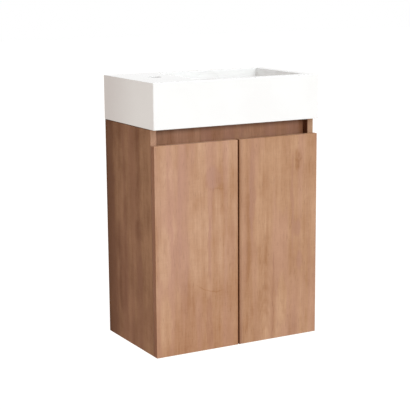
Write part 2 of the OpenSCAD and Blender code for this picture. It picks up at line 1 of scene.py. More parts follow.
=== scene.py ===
"""Wall-hung vanity unit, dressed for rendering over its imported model.

Lengths are in metres. X is to the right, Y goes to the wall and Z is up.
"""

import logging
import math
from collections.abc import Callable, Iterable, Iterator
from contextlib import contextmanager
from dataclasses import dataclass
from enum import Enum
from typing import ClassVar

import bmesh
import bpy
from mathutils import Matrix, Vector


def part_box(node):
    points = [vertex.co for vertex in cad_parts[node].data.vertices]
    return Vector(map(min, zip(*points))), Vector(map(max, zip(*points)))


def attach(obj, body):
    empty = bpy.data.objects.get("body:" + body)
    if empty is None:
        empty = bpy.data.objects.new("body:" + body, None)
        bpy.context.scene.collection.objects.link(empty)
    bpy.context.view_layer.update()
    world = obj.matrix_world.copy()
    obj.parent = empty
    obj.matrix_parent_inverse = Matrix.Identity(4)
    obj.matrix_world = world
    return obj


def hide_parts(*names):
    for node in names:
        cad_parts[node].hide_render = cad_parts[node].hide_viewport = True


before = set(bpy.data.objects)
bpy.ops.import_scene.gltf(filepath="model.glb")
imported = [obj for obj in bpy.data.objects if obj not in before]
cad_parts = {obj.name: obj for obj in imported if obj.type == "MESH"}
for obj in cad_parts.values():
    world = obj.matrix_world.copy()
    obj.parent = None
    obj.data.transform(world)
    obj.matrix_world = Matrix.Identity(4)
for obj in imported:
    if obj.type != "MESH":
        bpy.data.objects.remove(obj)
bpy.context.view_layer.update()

LOG = logging.getLogger("vanity_unit")
Pair = tuple[float, float]
Triple = tuple[float, float, float]
Colour = Triple
Piece = bpy.types.Object
Socket = bpy.types.NodeSocket
Sockets = dict[str, Socket]
Picker = Callable[[bmesh.types.BMEdge], bool] | Callable[[bmesh.types.BMFace], bool]
EPS, FLAT = 1e-5, 0.99
Y_AXIS, Z_AXIS = 1, 2
ORIGIN, HALFWAY, WHOLE = (0.0, 0.0, 0.0), (0.5, 0.5, 0.5), (1.0, 1.0, 1.0)
ACROSS, ALONG, UP, LEVEL = (1.0, 0.0, 0.0), (0.0, 1.0, 0.0), (0.0, 0.0, 1.0), (1.0, 1.0, 0.0)


def tint(*levels: int) -> Colour:
    """Turns a display colour into the linear values that a shader takes.

    Args:
        levels: Red, green and blue from 0 to 255.

    Returns:
        The linear colour.
    """
    top, knee, slope, offset, power = 255.0, 0.04045, 12.92, 0.055, 2.4
    shares = (level / top for level in levels)
    return tuple(x / slope if x <= knee else ((x + offset) / (1 + offset)) ** power for x in shares)


def scaled_colour(colour: Colour, share: float) -> Colour:
    """Gives a share of a colour."""
    return tuple(share * part for part in colour)


def by_name(sockets: Iterable[Socket]) -> Sockets:
    """Lists sockets by their names."""
    return {socket.name: socket for socket in sockets}


class Side(Enum):
    """Side of the cabinet, with the sign of its X."""

    LEFT = -1
    RIGHT = 1

    @property
    def word(self) -> str:
        """The side's name in lower case."""
        return self.name.lower()


class Grain(Enum):
    """Direction of a board's grain, with the turn that brings it upright."""

    UPRIGHT = (0.0, 0.0, 0.0)
    ACROSS = (0.0, math.pi / 2, 0.0)


# ---------------------------------------------------------------- shader trees


class Sheet:
    """Adds and joins the nodes of one shader tree. Its ends are the sockets that take its results."""

    ends: Sockets

    def __init__(self, tree: bpy.types.NodeTree) -> None:
        """Starts on a tree, which it empties."""
        self.tree = tree
        tree.nodes.clear()

    def add(self, kind: str, **settings: object) -> bpy.types.Node:
        """Adds a node.

        Args:
            kind: Blender's name of the node type.
            settings: Attributes to set on the node.

        Returns:
            The new node.
        """
        node = self.tree.nodes.new(kind)
        for name, value in settings.items():
            setattr(node, name, value)
        return node

    def feed(self, socket: Socket, value: object) -> None:
        """Joins a socket to an input, or sets the input's own value.

        Args:
            socket: The input.
            value: A socket, number, vector or colour.
        """
        if isinstance(value, Socket):
            self.tree.links.new(value, socket)
        else:
            socket.default_value = (*value, 1.0) if socket.type == "RGBA" else value

    def fill(self, node: bpy.types.Node, *values: object, **named: object) -> bpy.types.Node:
        """Feeds the inputs of a node.

        Args:
            node: The node.
            values: What its first inputs take, in order.
            named: What other inputs take, by name.

        Returns:
            The same node.
        """
        for socket, value in zip(node.inputs, values):
            self.feed(socket, value)
        for name, value in named.items():
            self.feed(node.inputs[name], value)
        return node

    def give(self, name: str, value: object) -> None:
        """Feeds one of the sheet's ends."""
        self.feed(self.ends[name], value)

    def math(self, operation: str, *values: object, clamp: bool = False) -> Socket:
        """Adds a Math node, whose result can be kept between 0 and 1."""
        node = self.add("ShaderNodeMath", operation=operation, use_clamp=clamp)
        return self.fill(node, *values).outputs[0]

    def total(self, value: Socket, extras: Iterable[Socket]) -> Socket:
        """Adds up numbers.

        Args:
            value: Socket of the first number.
            extras: Sockets of the others.

        Returns:
            Socket of the sum, kept between 0 and 1.
        """
        for extra in extras:
            value = self.math("ADD", value, extra)
        return self.math("ADD", value, 0.0, clamp=True)

    def bell(self, value: Socket) -> Socket:
        """Gives 1 for a value of 0 and falls off as it grows."""
        return self.math("EXPONENT", self.math("MULTIPLY", value, -1.0))

    def vector(self, operation: str, *values: object) -> Socket:
        """Adds a Vector Math node, which gives a number for a dot product or length."""
        node = self.fill(self.add("ShaderNodeVectorMath", operation=operation), *values)
        return node.outputs["Value" if operation in ("DOT_PRODUCT", "LENGTH") else "Vector"]

    def scaled(self, vector: Socket, factor: object) -> Socket:
        """Scales a vector by a number."""
        node = self.add("ShaderNodeVectorMath", operation="SCALE")
        return self.fill(node, vector, Scale=factor).outputs[0]

    def axes(self, vector: Socket) -> Sockets:
        """Parts a vector into X, Y and Z."""
        return by_name(self.fill(self.add("ShaderNodeSeparateXYZ"), vector).outputs)

    def noise(
        self, place: Socket, scale: object, detail: float = 1.0, rough: float = 0.5, output: str = "Fac"
    ) -> Socket:
        """Adds a Noise Texture node with so many patterns per unit, and gives its Fac or Color."""
        node = self.add("ShaderNodeTexNoise")
        return self.fill(node, Vector=place, Scale=scale, Detail=detail, Roughness=rough).outputs[output]

    def span(
        self, value: object, low: object, high: object, to_low: object = 0.0, to_high: object = 1.0
    ) -> Socket:
        """Maps the values from low to high smoothly onto those from to_low to to_high."""
        node = self.add("ShaderNodeMapRange", interpolation_type="SMOOTHSTEP")
        return self.fill(node, value, low, high, to_low, to_high).outputs[0]

    def blend(self, share: object, first: object, second: object, how: str = "MIX") -> Socket:
        """Mixes two colours by the share of the second, with a blend type of the Mix node."""
        node = self.add("ShaderNodeMix", data_type="RGBA", blend_type=how)
        return self.fill(node, Factor=share, A=first, B=second).outputs["Result"]


class GroupSheet(Sheet):
    """Sheet of a shader group, which ends in the group's outputs."""

    def __init__(self, tree: bpy.types.NodeTree) -> None:
        """Starts with the group's two end nodes.

        Args:
            tree: The group's tree, with its inputs and outputs named.
        """
        super().__init__(tree)
        self.ins = by_name(self.add("NodeGroupInput").outputs)
        self.ends = by_name(self.add("NodeGroupOutput").inputs)

    def off_centre(self, place: Socket | None = None) -> Socket:
        """Gives a place, or else the coordinates, as seen from the effect's centre."""
        return self.vector("SUBTRACT", place or self.ins["Vector"], self.ins["Centre"])


class Skin(Sheet):
    """Sheet of a material, which ends in its Principled shader."""

    def __init__(self, tree: bpy.types.NodeTree) -> None:
        """Starts with the shader and the object coordinates.

        Args:
            tree: The material's tree.
        """
        super().__init__(tree)
        surface = self.add("ShaderNodeBsdfPrincipled")
        self.fill(self.add("ShaderNodeOutputMaterial"), Surface=surface.outputs[0])
        self.ends = by_name(surface.inputs)
        self.place = self.add("ShaderNodeTexCoord").outputs["Object"]

    def relief(self, height: Socket, strength: float, depth: float) -> None:
        """Adds a Bump node with a height, a strength from 0 to 1 and a depth."""
        bump = self.fill(self.add("ShaderNodeBump"), Strength=strength, Distance=depth, Height=height)
        self.give("Normal", bump.outputs[0])


# ---------------------------------------------------------------- effects


@dataclass(frozen=True)
class Layer:
    """A noise with its own patterns per metre across and along the grain."""

    across: float
    along: float
    detail: float = 1.0

    def lay(self, s: Sheet, place: Socket, output: str = "Fac") -> Socket:
        """Adds the noise and gives its number, or its three numbers as Color."""
        stretched = s.vector("MULTIPLY", place, (self.across, self.across, self.along))
        return s.noise(stretched, 1.0, self.detail, output=output)

    def drift(self, s: Sheet, place: Socket, reach: object, ways: Triple = WHOLE) -> Socket:
        """Moves coordinates about by the noise, as far as reach and along some axes only."""
        off = s.vector("MULTIPLY", s.vector("SUBTRACT", self.lay(s, place, "Color"), HALFWAY), ways)
        return s.vector("ADD", place, s.scaled(off, reach))


@dataclass(frozen=True)
class Effect:
    """A shader group that is built once and laid with the values of each effect.

    Its inputs are the coordinates and the fields named in INPUTS.
    """

    GROUP: ClassVar[str]
    INPUTS: ClassVar[tuple[str, ...]]
    OUTPUTS: ClassVar[tuple[str, ...]] = ("Share",)
    VECTORS: ClassVar[tuple[str, ...]] = ("Vector", "Centre", "Across", "Tightness", "Stretch", "Place")

    def draw(self, g: GroupSheet) -> None:
        """Adds the group's own nodes."""
        raise NotImplementedError

    def tree(self) -> bpy.types.NodeTree:
        """Builds the group, or finds the one that is already there.

        Returns:
            The group's tree.
        """
        tree = bpy.data.node_groups.get(self.GROUP)
        if tree is None:
            tree = bpy.data.node_groups.new(self.GROUP, "ShaderNodeTree")
            for way, names in (("INPUT", ("Vector", *self.INPUTS)), ("OUTPUT", self.OUTPUTS)):
                for name in names:
                    kind = "NodeSocketVector" if name in self.VECTORS else "NodeSocketFloat"
                    tree.interface.new_socket(name, in_out=way, socket_type=kind)
            self.draw(GroupSheet(tree))
        return tree

    def lay(self, s: Sheet, place: Socket) -> Sockets:
        """Adds the group to a material, with this effect's values.

        Args:
            s: Sheet of the material.
            place: Socket of the coordinates.

        Returns:
            The group's results by name.
        """
        values = {name: getattr(self, name.lower()) for name in self.INPUTS}
        node = s.add("ShaderNodeGroup", node_tree=self.tree())
        return by_name(s.fill(node, Vector=place, **values).outputs)


@dataclass(frozen=True)
class Figure(Effect):
    """Columns, patches, streaks and pores of a board whose grain runs along Z."""

    columns: float = 44.0
    wander: float = 0.004
    streaks: float = 0.55
    clouds: float = 1.0

    GROUP, INPUTS = "Wood Figure", ("Columns", "Wander", "Streaks", "Clouds")
    OUTPUTS = ("Tone", "Blush", "Pores", "Height")
    SLOW, CLOUD = Layer(9.0, 6.0), Layer(15.0, 11.0, 2.0)
    RIPPLE, FLECK, STREAK = Layer(40.0, 230.0), Layer(120.0, 42.0), Layer(210.0, 10.0, 2.0)
    FIBRE, DASH = Layer(1300.0, 20.0), Layer(1100.0, 48.0, 0.0)
    COLUMN_ALONG, COLUMN_ROUGH = 2.2, 0.4
    HUE_SHIFT, HUE_SCALE, HUE_RANGE = (5.3, 2.9, 1.1), 0.7, (0.4, 0.64)
    PORE_RANGE, FIBRE_HEIGHT = (0.67, 0.76), 0.35
    COLUMN_WEIGHT, RIPPLE_WEIGHT, FLECK_WEIGHT, FIBRE_WEIGHT = 1.2, 0.2, 0.26, 0.3

    def draw(self, g: GroupSheet) -> None:
        """Adds up the layers, each with its weight.

        Args:
            g: The group's sheet.
        """
        still, columns = g.ins["Vector"], g.ins["Columns"]
        place = self.SLOW.drift(g, still, g.ins["Wander"], LEVEL)
        wide = g.fill(g.add("ShaderNodeCombineXYZ"), columns, columns, self.COLUMN_ALONG).outputs[0]
        column = g.noise(g.vector("MULTIPLY", place, wide), 1.0, rough=self.COLUMN_ROUGH)
        aside = g.vector("MULTIPLY", g.vector("ADD", place, self.HUE_SHIFT), wide)
        fibre, pores = self.FIBRE.lay(g, still), g.span(self.DASH.lay(g, still), *self.PORE_RANGE)
        tone: object = HALFWAY[0]
        for layer, weight in (
            (column, self.COLUMN_WEIGHT),
            (self.CLOUD.lay(g, place), g.ins["Clouds"]),
            (self.RIPPLE.lay(g, place), self.RIPPLE_WEIGHT),
            (self.FLECK.lay(g, place), self.FLECK_WEIGHT),
            (self.STREAK.lay(g, place), g.ins["Streaks"]),
            (fibre, self.FIBRE_WEIGHT),
        ):
            tone = g.math("MULTIPLY_ADD", g.math("SUBTRACT", layer, HALFWAY[0]), weight, tone)
        g.give("Tone", tone)
        g.give("Blush", g.span(g.noise(aside, self.HUE_SCALE), *self.HUE_RANGE))
        g.give("Pores", pores)
        g.give("Height", g.math("SUBTRACT", g.math("MULTIPLY", fibre, self.FIBRE_HEIGHT), pores))


@dataclass(frozen=True)
class Patch(Effect):
    """A soft patch with a wandering edge, lighter, darker or rosier than the rest: mostly of the grain, and
    painted shade at the recess rail's right end.

    It has no end in a direction in which its half size is 0.
    """

    centre: Triple
    half: Triple
    tone: float
    rose: float = 0.0
    softness: float = 0.3

    GROUP, INPUTS = "Patch", ("Centre", "Tightness", "Softness")
    EDGE, DRIFT = Layer(55.0, 16.0, 2.0), 0.018

    @property
    def tightness(self) -> Triple:
        """The reciprocals of its half sizes, or 0."""
        return tuple(1 / size if size else 0.0 for size in self.half)

    def draw(self, g: GroupSheet) -> None:
        """Weighs the distance from the centre against the half sizes.

        Args:
            g: The group's sheet.
        """
        away = g.off_centre(self.EDGE.drift(g, g.ins["Vector"], self.DRIFT))
        reach = g.vector("LENGTH", g.vector("MULTIPLY", away, g.ins["Tightness"]))
        inner, outer = (g.math(how, 1.0, g.ins["Softness"]) for how in ("SUBTRACT", "ADD"))
        g.give("Share", g.span(reach, inner, outer, 1.0, 0.0))


@dataclass(frozen=True)
class Wisp(Effect):
    """A thin darker line that curves across the grain and fades out at both ends."""

    centre: Triple
    reach: float
    sag: float
    lean: float
    width: float
    dark: float

    GROUP, INPUTS = "Wisp", ("Centre", "Reach", "Sag", "Lean", "Width")
    EDGE, DRIFT, FADE = Layer(70.0, 70.0), 0.008, 0.4

    def draw(self, g: GroupSheet) -> None:
        """Weighs the distance from a bow against the line's width.

        Args:
            g: The group's sheet.
        """
        away = g.axes(g.off_centre(self.EDGE.drift(g, g.ins["Vector"], self.DRIFT)))
        along = g.math("DIVIDE", away["X"], g.ins["Reach"])
        bow = g.math("MULTIPLY", g.math("MULTIPLY_ADD", along, g.ins["Sag"], g.ins["Lean"]), along)
        off = g.math("DIVIDE", g.math("SUBTRACT", away["Z"], bow), g.ins["Width"])
        ends = g.span(g.math("ABSOLUTE", along), self.FADE, 1.0, 1.0, 0.0)
        g.give("Share", g.math("MULTIPLY", g.bell(g.math("MULTIPLY", off, off)), ends))


@dataclass(frozen=True)
class Onset(Effect):
    """A tone that sets in with the distance from a plane. Every onset here paints shade or light, such as
    the darker side tone on a board's upright edges.
    """

    centre: Triple
    start: float
    full: float
    tone: Colour
    across: Triple = ACROSS

    GROUP, INPUTS = "Onset", ("Centre", "Across", "Start", "Full")

    def draw(self, g: GroupSheet) -> None:
        """Turns the distance from the plane into a share."""
        away = g.vector("DOT_PRODUCT", g.off_centre(), g.ins["Across"])
        g.give("Share", g.span(g.math("ABSOLUTE", away), g.ins["Start"], g.ins["Full"]))

    def over(self, s: Sheet, share: Socket, colour: Socket) -> Socket:
        """Lays the tone over a colour, by a share."""
        return s.blend(share, colour, s.blend(1.0, colour, self.tone, "MULTIPLY"))


@dataclass(frozen=True)
class Knot(Effect):
    """A knot that parts the grain round its centre and darkens its eye."""

    centre: Triple
    size: float
    dark: float
    pull: float = 0.85

    GROUP, INPUTS, OUTPUTS = "Knot", ("Centre", "Size", "Pull"), ("Place", "Mark")
    OVAL, RINGS, RING_DEPTH = (1.0, 0.0, 0.42), 8.0, 0.35

    def draw(self, g: GroupSheet) -> None:
        """Pulls the coordinates towards the centre and draws rings round it.

        Args:
            g: The group's sheet.
        """
        away = g.vector("MULTIPLY", g.off_centre(), self.OVAL)
        reach = g.math("DIVIDE", g.vector("LENGTH", away), g.ins["Size"])
        hump = g.bell(g.math("POWER", reach, 2.0))
        pull = g.scaled(g.vector("MULTIPLY", away, ACROSS), g.math("MULTIPLY", hump, g.ins["Pull"]))
        wave = g.math("SINE", g.math("MULTIPLY", reach, self.RINGS))
        ring = g.math("MULTIPLY_ADD", wave, self.RING_DEPTH, 1 - self.RING_DEPTH)
        g.give("Place", g.vector("SUBTRACT", g.ins["Vector"], pull))
        g.give("Mark", g.math("MULTIPLY", hump, ring))


@dataclass(frozen=True)
class Flame(Effect):
    """The pointed arches of a plain-sawn board, faded out round their middle."""

    centre: Triple
    width: float
    pitch: float
    depth: float

    GROUP, INPUTS, OUTPUTS = "Flame", ("Centre", "Width", "Pitch"), ("Tone",)
    WAVE, WOBBLE, POINT, ARCHES = Layer(60.0, 9.0, 2.0), 1.6, 1.5, 4.5

    def draw(self, g: GroupSheet) -> None:
        """Draws a wave along the grain that comes later away from the middle.

        Args:
            g: The group's sheet.
        """
        away = g.axes(g.off_centre())
        across = g.math("POWER", g.math("DIVIDE", away["X"], g.ins["Width"]), 2.0)
        along = g.math("DIVIDE", away["Z"], g.ins["Pitch"])
        wobble = g.math("MULTIPLY", self.WAVE.lay(g, g.ins["Vector"]), self.WOBBLE)
        phase = g.math("ADD", g.math("MULTIPLY_ADD", across, self.POINT, along), wobble)
        tall = g.math("POWER", g.math("DIVIDE", along, self.ARCHES), 2.0)
        arch = g.math("SINE", g.math("MULTIPLY", phase, math.tau))
        g.give("Tone", g.math("MULTIPLY", arch, g.bell(g.math("ADD", across, tall))))


@dataclass(frozen=True)
class Handling(Effect):
    """Faint smears, scuffs and fine pitting of a surface that has been handled."""

    scale: float
    stretch: Triple = WHOLE

    GROUP, INPUTS, OUTPUTS = "Handling Marks", ("Scale", "Stretch"), ("Smear", "Scuff", "Pits")
    DETAIL, SMEAR_ROUGH, SCUFF_ROUGH, SCUFF_RANGE = 3.0, 0.55, 0.7, (0.52, 0.72)
    SCUFFS, PITS = 7.0, 24.0

    def draw(self, g: GroupSheet) -> None:
        """Adds a noise for each kind of mark.

        Args:
            g: The group's sheet.
        """
        scale, place = g.ins["Scale"], g.vector("MULTIPLY", g.ins["Vector"], g.ins["Stretch"])
        scuff = g.noise(place, g.math("MULTIPLY", scale, self.SCUFFS), self.DETAIL, self.SCUFF_ROUGH)
        g.give("Smear", g.noise(place, scale, self.DETAIL, self.SMEAR_ROUGH))
        g.give("Scuff", g.span(scuff, *self.SCUFF_RANGE))
        g.give("Pits", g.noise(g.ins["Vector"], g.math("MULTIPLY", scale, self.PITS)))


# ---------------------------------------------------------------- finishes


class Finish:
    """A procedural finish that makes one Blender material."""

    name: str

    def paint(self, s: Skin) -> None:
        """Adds the finish's own nodes."""
        raise NotImplementedError

    def make(self) -> bpy.types.Material:
        """Builds the material, or finds the one that is already there.

        Returns:
            The material.
        """
        material = bpy.data.materials.get(self.name)
        if material is None:
            material = bpy.data.materials.new(self.name)
            material.use_nodes = True
            self.paint(Skin(material.node_tree))
        return material


@dataclass(frozen=True)
class Shades:
    """A wood's darker and lighter grain, and a rosier tone that comes and goes."""

    dark: Colour
    light: Colour
    blush: Colour


@dataclass(frozen=True)
class WoodGrain(Finish):
    """Satin wood-grain melamine."""

    name: str
    shades: Shades
    shift: Triple
    figure: Figure = Figure()
    grain: Grain = Grain.UPRIGHT
    knots: tuple[Knot, ...] = ()
    flames: tuple[Flame, ...] = ()
    wisps: tuple[Wisp, ...] = ()
    patches: tuple[Patch, ...] = ()
    onsets: tuple[Onset, ...] = ()
    blush_share: float = 0.6
    blush_deep: float = 0.86
    pore: Colour = tint(112, 76, 54)
    pore_share: float = 0.3
    pore_rough: float = 0.12
    tone_rough: float = -0.05
    roughness: float = 0.55
    gloss: float = 0.16
    strength: float = 0.35
    depth: float = 0.00012

    def marks(self, s: Skin) -> tuple[Socket, list[Socket], list[Socket]]:
        """Adds the knots, flames, wisps and patches that this board has in known places; a patch can also be
        painted shade.

        Args:
            s: Sheet of the material.

        Returns:
            The coordinates bent round the knots, the changes of tone and the changes of blush.
        """
        bent, tones, roses = s.place, [], []
        for knot in self.knots:
            results = knot.lay(s, bent)
            bent = results["Place"]
            tones.append(s.math("MULTIPLY", results["Mark"], -knot.dark))
        for flame in self.flames:
            tones.append(s.math("MULTIPLY", flame.lay(s, s.place)["Tone"], flame.depth))
        for wisp in self.wisps:
            tones.append(s.math("MULTIPLY", wisp.lay(s, s.place)["Share"], -wisp.dark))
        for patch in self.patches:
            share = patch.lay(s, bent)["Share"]
            tones.append(s.math("MULTIPLY", share, patch.tone))
            roses.append(s.math("MULTIPLY", share, patch.rose))
        return bent, tones, roses

    def paint(self, s: Skin) -> None:
        """Lays the figure, its marks, the pores and the onsets' painted shade and light over each other.

        Args:
            s: Sheet of the material.
        """
        bent, tones, roses = self.marks(s)
        turn = s.fill(s.add("ShaderNodeMapping"), bent, self.shift, self.grain.value)
        figure = self.figure.lay(s, turn.outputs[0])
        tone = s.total(figure["Tone"], tones)
        rose = s.total(s.math("MULTIPLY", figure["Blush"], self.blush_share), roses)
        ground = s.blend(tone, self.shades.dark, self.shades.light)
        rosy = s.blend(tone, scaled_colour(self.shades.blush, self.blush_deep), self.shades.blush)
        pores = s.math("MULTIPLY", figure["Pores"], self.pore_share)
        colour = s.blend(pores, s.blend(rose, ground, rosy), self.pore)
        for onset in self.onsets:
            colour = onset.over(s, onset.lay(s, s.place)["Share"], colour)
        rough = s.math("MULTIPLY_ADD", figure["Pores"], self.pore_rough, self.roughness)
        s.give("Base Color", colour)
        s.give("Roughness", s.math("MULTIPLY_ADD", tone, self.tone_rough, rough))
        s.give("Specular IOR Level", self.gloss)
        s.relief(figure["Height"], self.strength, self.depth)


@dataclass(frozen=True)
class Glaze(Finish):
    """Glossy white glaze over a ceramic body that stays bare underneath, with painted warm light on its
    outer sides and painted shade on them towards the wall.

    The bare foot sets in over a range of the surface's facing and over one of its height.
    """

    name: str
    glaze: Colour
    shade: Colour
    body: Colour
    outer: Onset
    painted_wall_shade: Onset
    cloud: float = 9.0
    cloud_detail: float = 3.0
    cloud_range: Pair = (0.35, 0.7)
    foot_facing: Pair = (-0.97, -0.9)
    foot_height: Pair = (0.0412, 0.0418)
    marks: Handling = Handling(14.0)
    roughness: float = 0.09
    smear_rough: float = 0.05
    foot_rough: float = 0.5
    coat: float = 0.25
    coat_rough: float = 0.04
    ripple: float = 180.0
    strength: float = 0.012
    depth: float = 0.0004

    def paint(self, s: Skin) -> None:
        """Clouds the glaze a little, paints warm light on its outer sides and shade on them towards the
        wall, and leaves the foot bare.

        Args:
            s: Sheet of the material.
        """
        cloud = s.noise(s.place, self.cloud, self.cloud_detail)
        cover = s.blend(s.span(cloud, *self.cloud_range), self.glaze, self.shade)
        # Painted warm light on the outer sides, then painted shade on them towards the wall.
        outer = self.outer.lay(s, s.place)["Share"]
        cover = self.outer.over(s, outer, cover)
        painted_wall_shade = s.math("MULTIPLY", self.painted_wall_shade.lay(s, s.place)["Share"], outer)
        cover = self.painted_wall_shade.over(s, painted_wall_shade, cover)
        facing = s.axes(s.add("ShaderNodeNewGeometry").outputs["True Normal"])["Z"]
        below = s.span(facing, *self.foot_facing, 1.0, 0.0)
        foot = s.math("MULTIPLY", below, s.span(s.axes(s.place)["Z"], *self.foot_height, 1.0, 0.0))
        rough = s.math("MULTIPLY_ADD", self.marks.lay(s, s.place)["Smear"], self.smear_rough, self.roughness)
        s.give("Base Color", s.blend(foot, cover, self.body))
        s.give("Roughness", s.math("MULTIPLY_ADD", foot, self.foot_rough, rough))
        s.give("Coat Weight", self.coat)
        s.give("Coat Roughness", self.coat_rough)
        s.relief(s.noise(s.place, self.ripple), self.strength, self.depth)


@dataclass(frozen=True)
class Metal(Finish):
    """Plated, drawn or cast metal."""

    name: str
    colour: Colour
    roughness: float
    smear: float = 0.1
    scuff: float = 0.12
    pits: float = 0.1
    spangle: float = 0.0
    marks: Handling = Handling(90.0)
    cells: float = 160.0
    dimmed: float = 0.45
    dim_rough: float = 0.3
    depth: float = 0.00008

    def paint(self, s: Skin) -> None:
        """Adds smears, scuffs, pits and, on hot-dipped sheet, its spangle.

        Args:
            s: Sheet of the material.
        """
        marks = self.marks.lay(s, s.place)
        dim = s.math("MULTIPLY", marks["Smear"], self.smear)
        if self.spangle:
            cells = s.fill(s.add("ShaderNodeTexVoronoi"), Vector=s.place, Scale=self.cells)
            flake = s.fill(s.add("ShaderNodeSeparateColor"), cells.outputs["Color"])
            dim = s.math("ADD", dim, s.math("MULTIPLY", flake.outputs[0], self.spangle))
        rough = s.math("MULTIPLY_ADD", marks["Scuff"], self.scuff, self.roughness)
        s.give("Base Color", s.blend(dim, self.colour, scaled_colour(self.colour, self.dimmed)))
        s.give("Roughness", s.math("MULTIPLY_ADD", dim, self.dim_rough, rough))
        s.give("Metallic", 1.0)
        s.relief(marks["Pits"], self.pits, self.depth)


@dataclass(frozen=True)
class Moulded(Finish):
    """Moulded plastic, rubber or a bead of sealant."""

    name: str
    colour: Colour
    shade: Colour
    roughness: float
    grain: float = 0.15
    clear: float = 0.0
    marks: Handling = Handling(60.0, (1.0, 1.0, 0.6))
    scuff_rough: float = 0.12
    index: float = 1.5
    depth: float = 0.0001

    def paint(self, s: Skin) -> None:
        """Adds a moulded texture with faint flow marks.

        Args:
            s: Sheet of the material.
        """
        marks = self.marks.lay(s, s.place)
        s.give("Base Color", s.blend(marks["Smear"], self.colour, self.shade))
        s.give("Roughness", s.math("MULTIPLY_ADD", marks["Scuff"], self.scuff_rough, self.roughness))
        if self.clear:
            s.give("Transmission Weight", self.clear)
            s.give("IOR", self.index)
        s.relief(marks["Pits"], self.grain, self.depth)


def patches_on(across: Triple, *rows: tuple[float, ...]) -> tuple[Patch, ...]:
    """Lists the patches of one face.

    Args:
        across: Direction across the grain on that face.
        rows: For each patch its centre across and in height, its half sizes in the same order,
            its tone and, where it differs from the usual, its rose and softness.

    Returns:
        The patches.
    """

    def spot(off: float, height: float) -> Triple:
        """Gives a place or half size on the face."""
        return off * across[0], off * across[1], height

    return tuple(Patch(spot(x, z), spot(wide, tall), *look) for x, z, wide, tall, *look in rows)


def shaded_door_edges(side: Side) -> Onset:
    """Gives painted shade on both upright edges of a door: the darker tone of faces that face sideways."""
    middle, start, full = 0.12475, 0.12275, 0.12315
    return Onset((side.value * middle, 0.0, 0.0), start, full, (0.66, 0.505, 0.37))


FRONT = Shades(tint(167, 120, 85), tint(204, 163, 134), tint(192, 146, 124))
LATER_FRONT = Shades(tint(163, 117, 83), tint(199, 157, 125), tint(187, 141, 117))
# The side panels' wood is a darker copy of the front wood: painted shade for faces that face sideways.
SHADED_SIDES = Shades(tint(123, 80, 53), tint(175, 130, 97), tint(158, 111, 85))
# The recess rail's wood is a slightly darker copy of the front wood: painted shade deep in the recess.
SHADED_RECESS = Shades(tint(163, 113, 83), tint(203, 157, 127), tint(191, 142, 120))
BEECH = Shades(tint(196, 160, 116), tint(222, 192, 152), tint(214, 176, 138))
# Painted shadow in the gap between the doors, on the doors' edges next to it.
PAINTED_GAP_SHADOW = Onset(ORIGIN, 0.0048, 0.0018, (0.62, 0.46, 0.34))
# Wider painted shade beside the gap, on the right door.
GAP_SHADE = Onset(ORIGIN, 0.0135, 0.0015, (0.69, 0.65, 0.59))
# Painted shade: the left door darkens towards its foot.
FOOT_SHADE = Onset(ORIGIN, 0.30, 0.56, (0.92, 0.87, 0.81), UP)
# Painted shadow of the basin's overhang, darkest at the top of the recess rail.
OVERHANG_SHADOW = Onset((0.0, 0.0, 0.040), 0.022, 0.0, (0.41, 0.40, 0.40), UP)
# Painted shade: the side panels darken towards the wall.
WALL_SHADE = Onset(ORIGIN, 0.112, 0.0, (0.62, 0.56, 0.475), ALONG)
# Painted shade at the recess rail's left end.
RAIL_END_SHADE = Onset((-0.230, 0.0, 0.0), 0.070, 0.0, (0.80, 0.76, 0.73))
# Painted shadow in a thin line along the boards' tops, under the basin.
SEAT_SHADOW = Onset((0.0, 0.0, -1.0), 1.0388, 1.0396, (0.5, 0.45, 0.4), UP)


def side_panel(
    side: Side, shift: Triple, front: Colour, inner: Colour, *rows: tuple[float, ...]
) -> WoodGrain:
    """Gives the finish of a side panel.

    Args:
        side: The panel's side.
        shift: Place in the wood from which it is cut.
        front: Painted light, a tone that lifts its front edge to the front wood's colour.
        inner: Painted shade, a tone for its inner face.
        rows: Its patches, as patches_on takes them.

    Returns:
        The finish.
    """
    middle, edge_range, face_range = -0.1385, (0.1379, 0.1384), (0.7695, 0.7699)
    # Painted light on the front edge, painted shade on the inner face.
    edge = Onset((0.0, middle, 0.0), *edge_range, front, ALONG)
    face = Onset((side.value, 0.0, 0.0), *face_range, inner)
    return WoodGrain(
        f"wood_side_{side.word}", SHADED_SIDES, shift, Figure(columns=34.0, streaks=0.36, clouds=1.3),
        patches=patches_on(ALONG, *rows), onsets=(edge, SEAT_SHADOW, WALL_SHADE, face),
        gloss=0.06, roughness=0.62,
    )


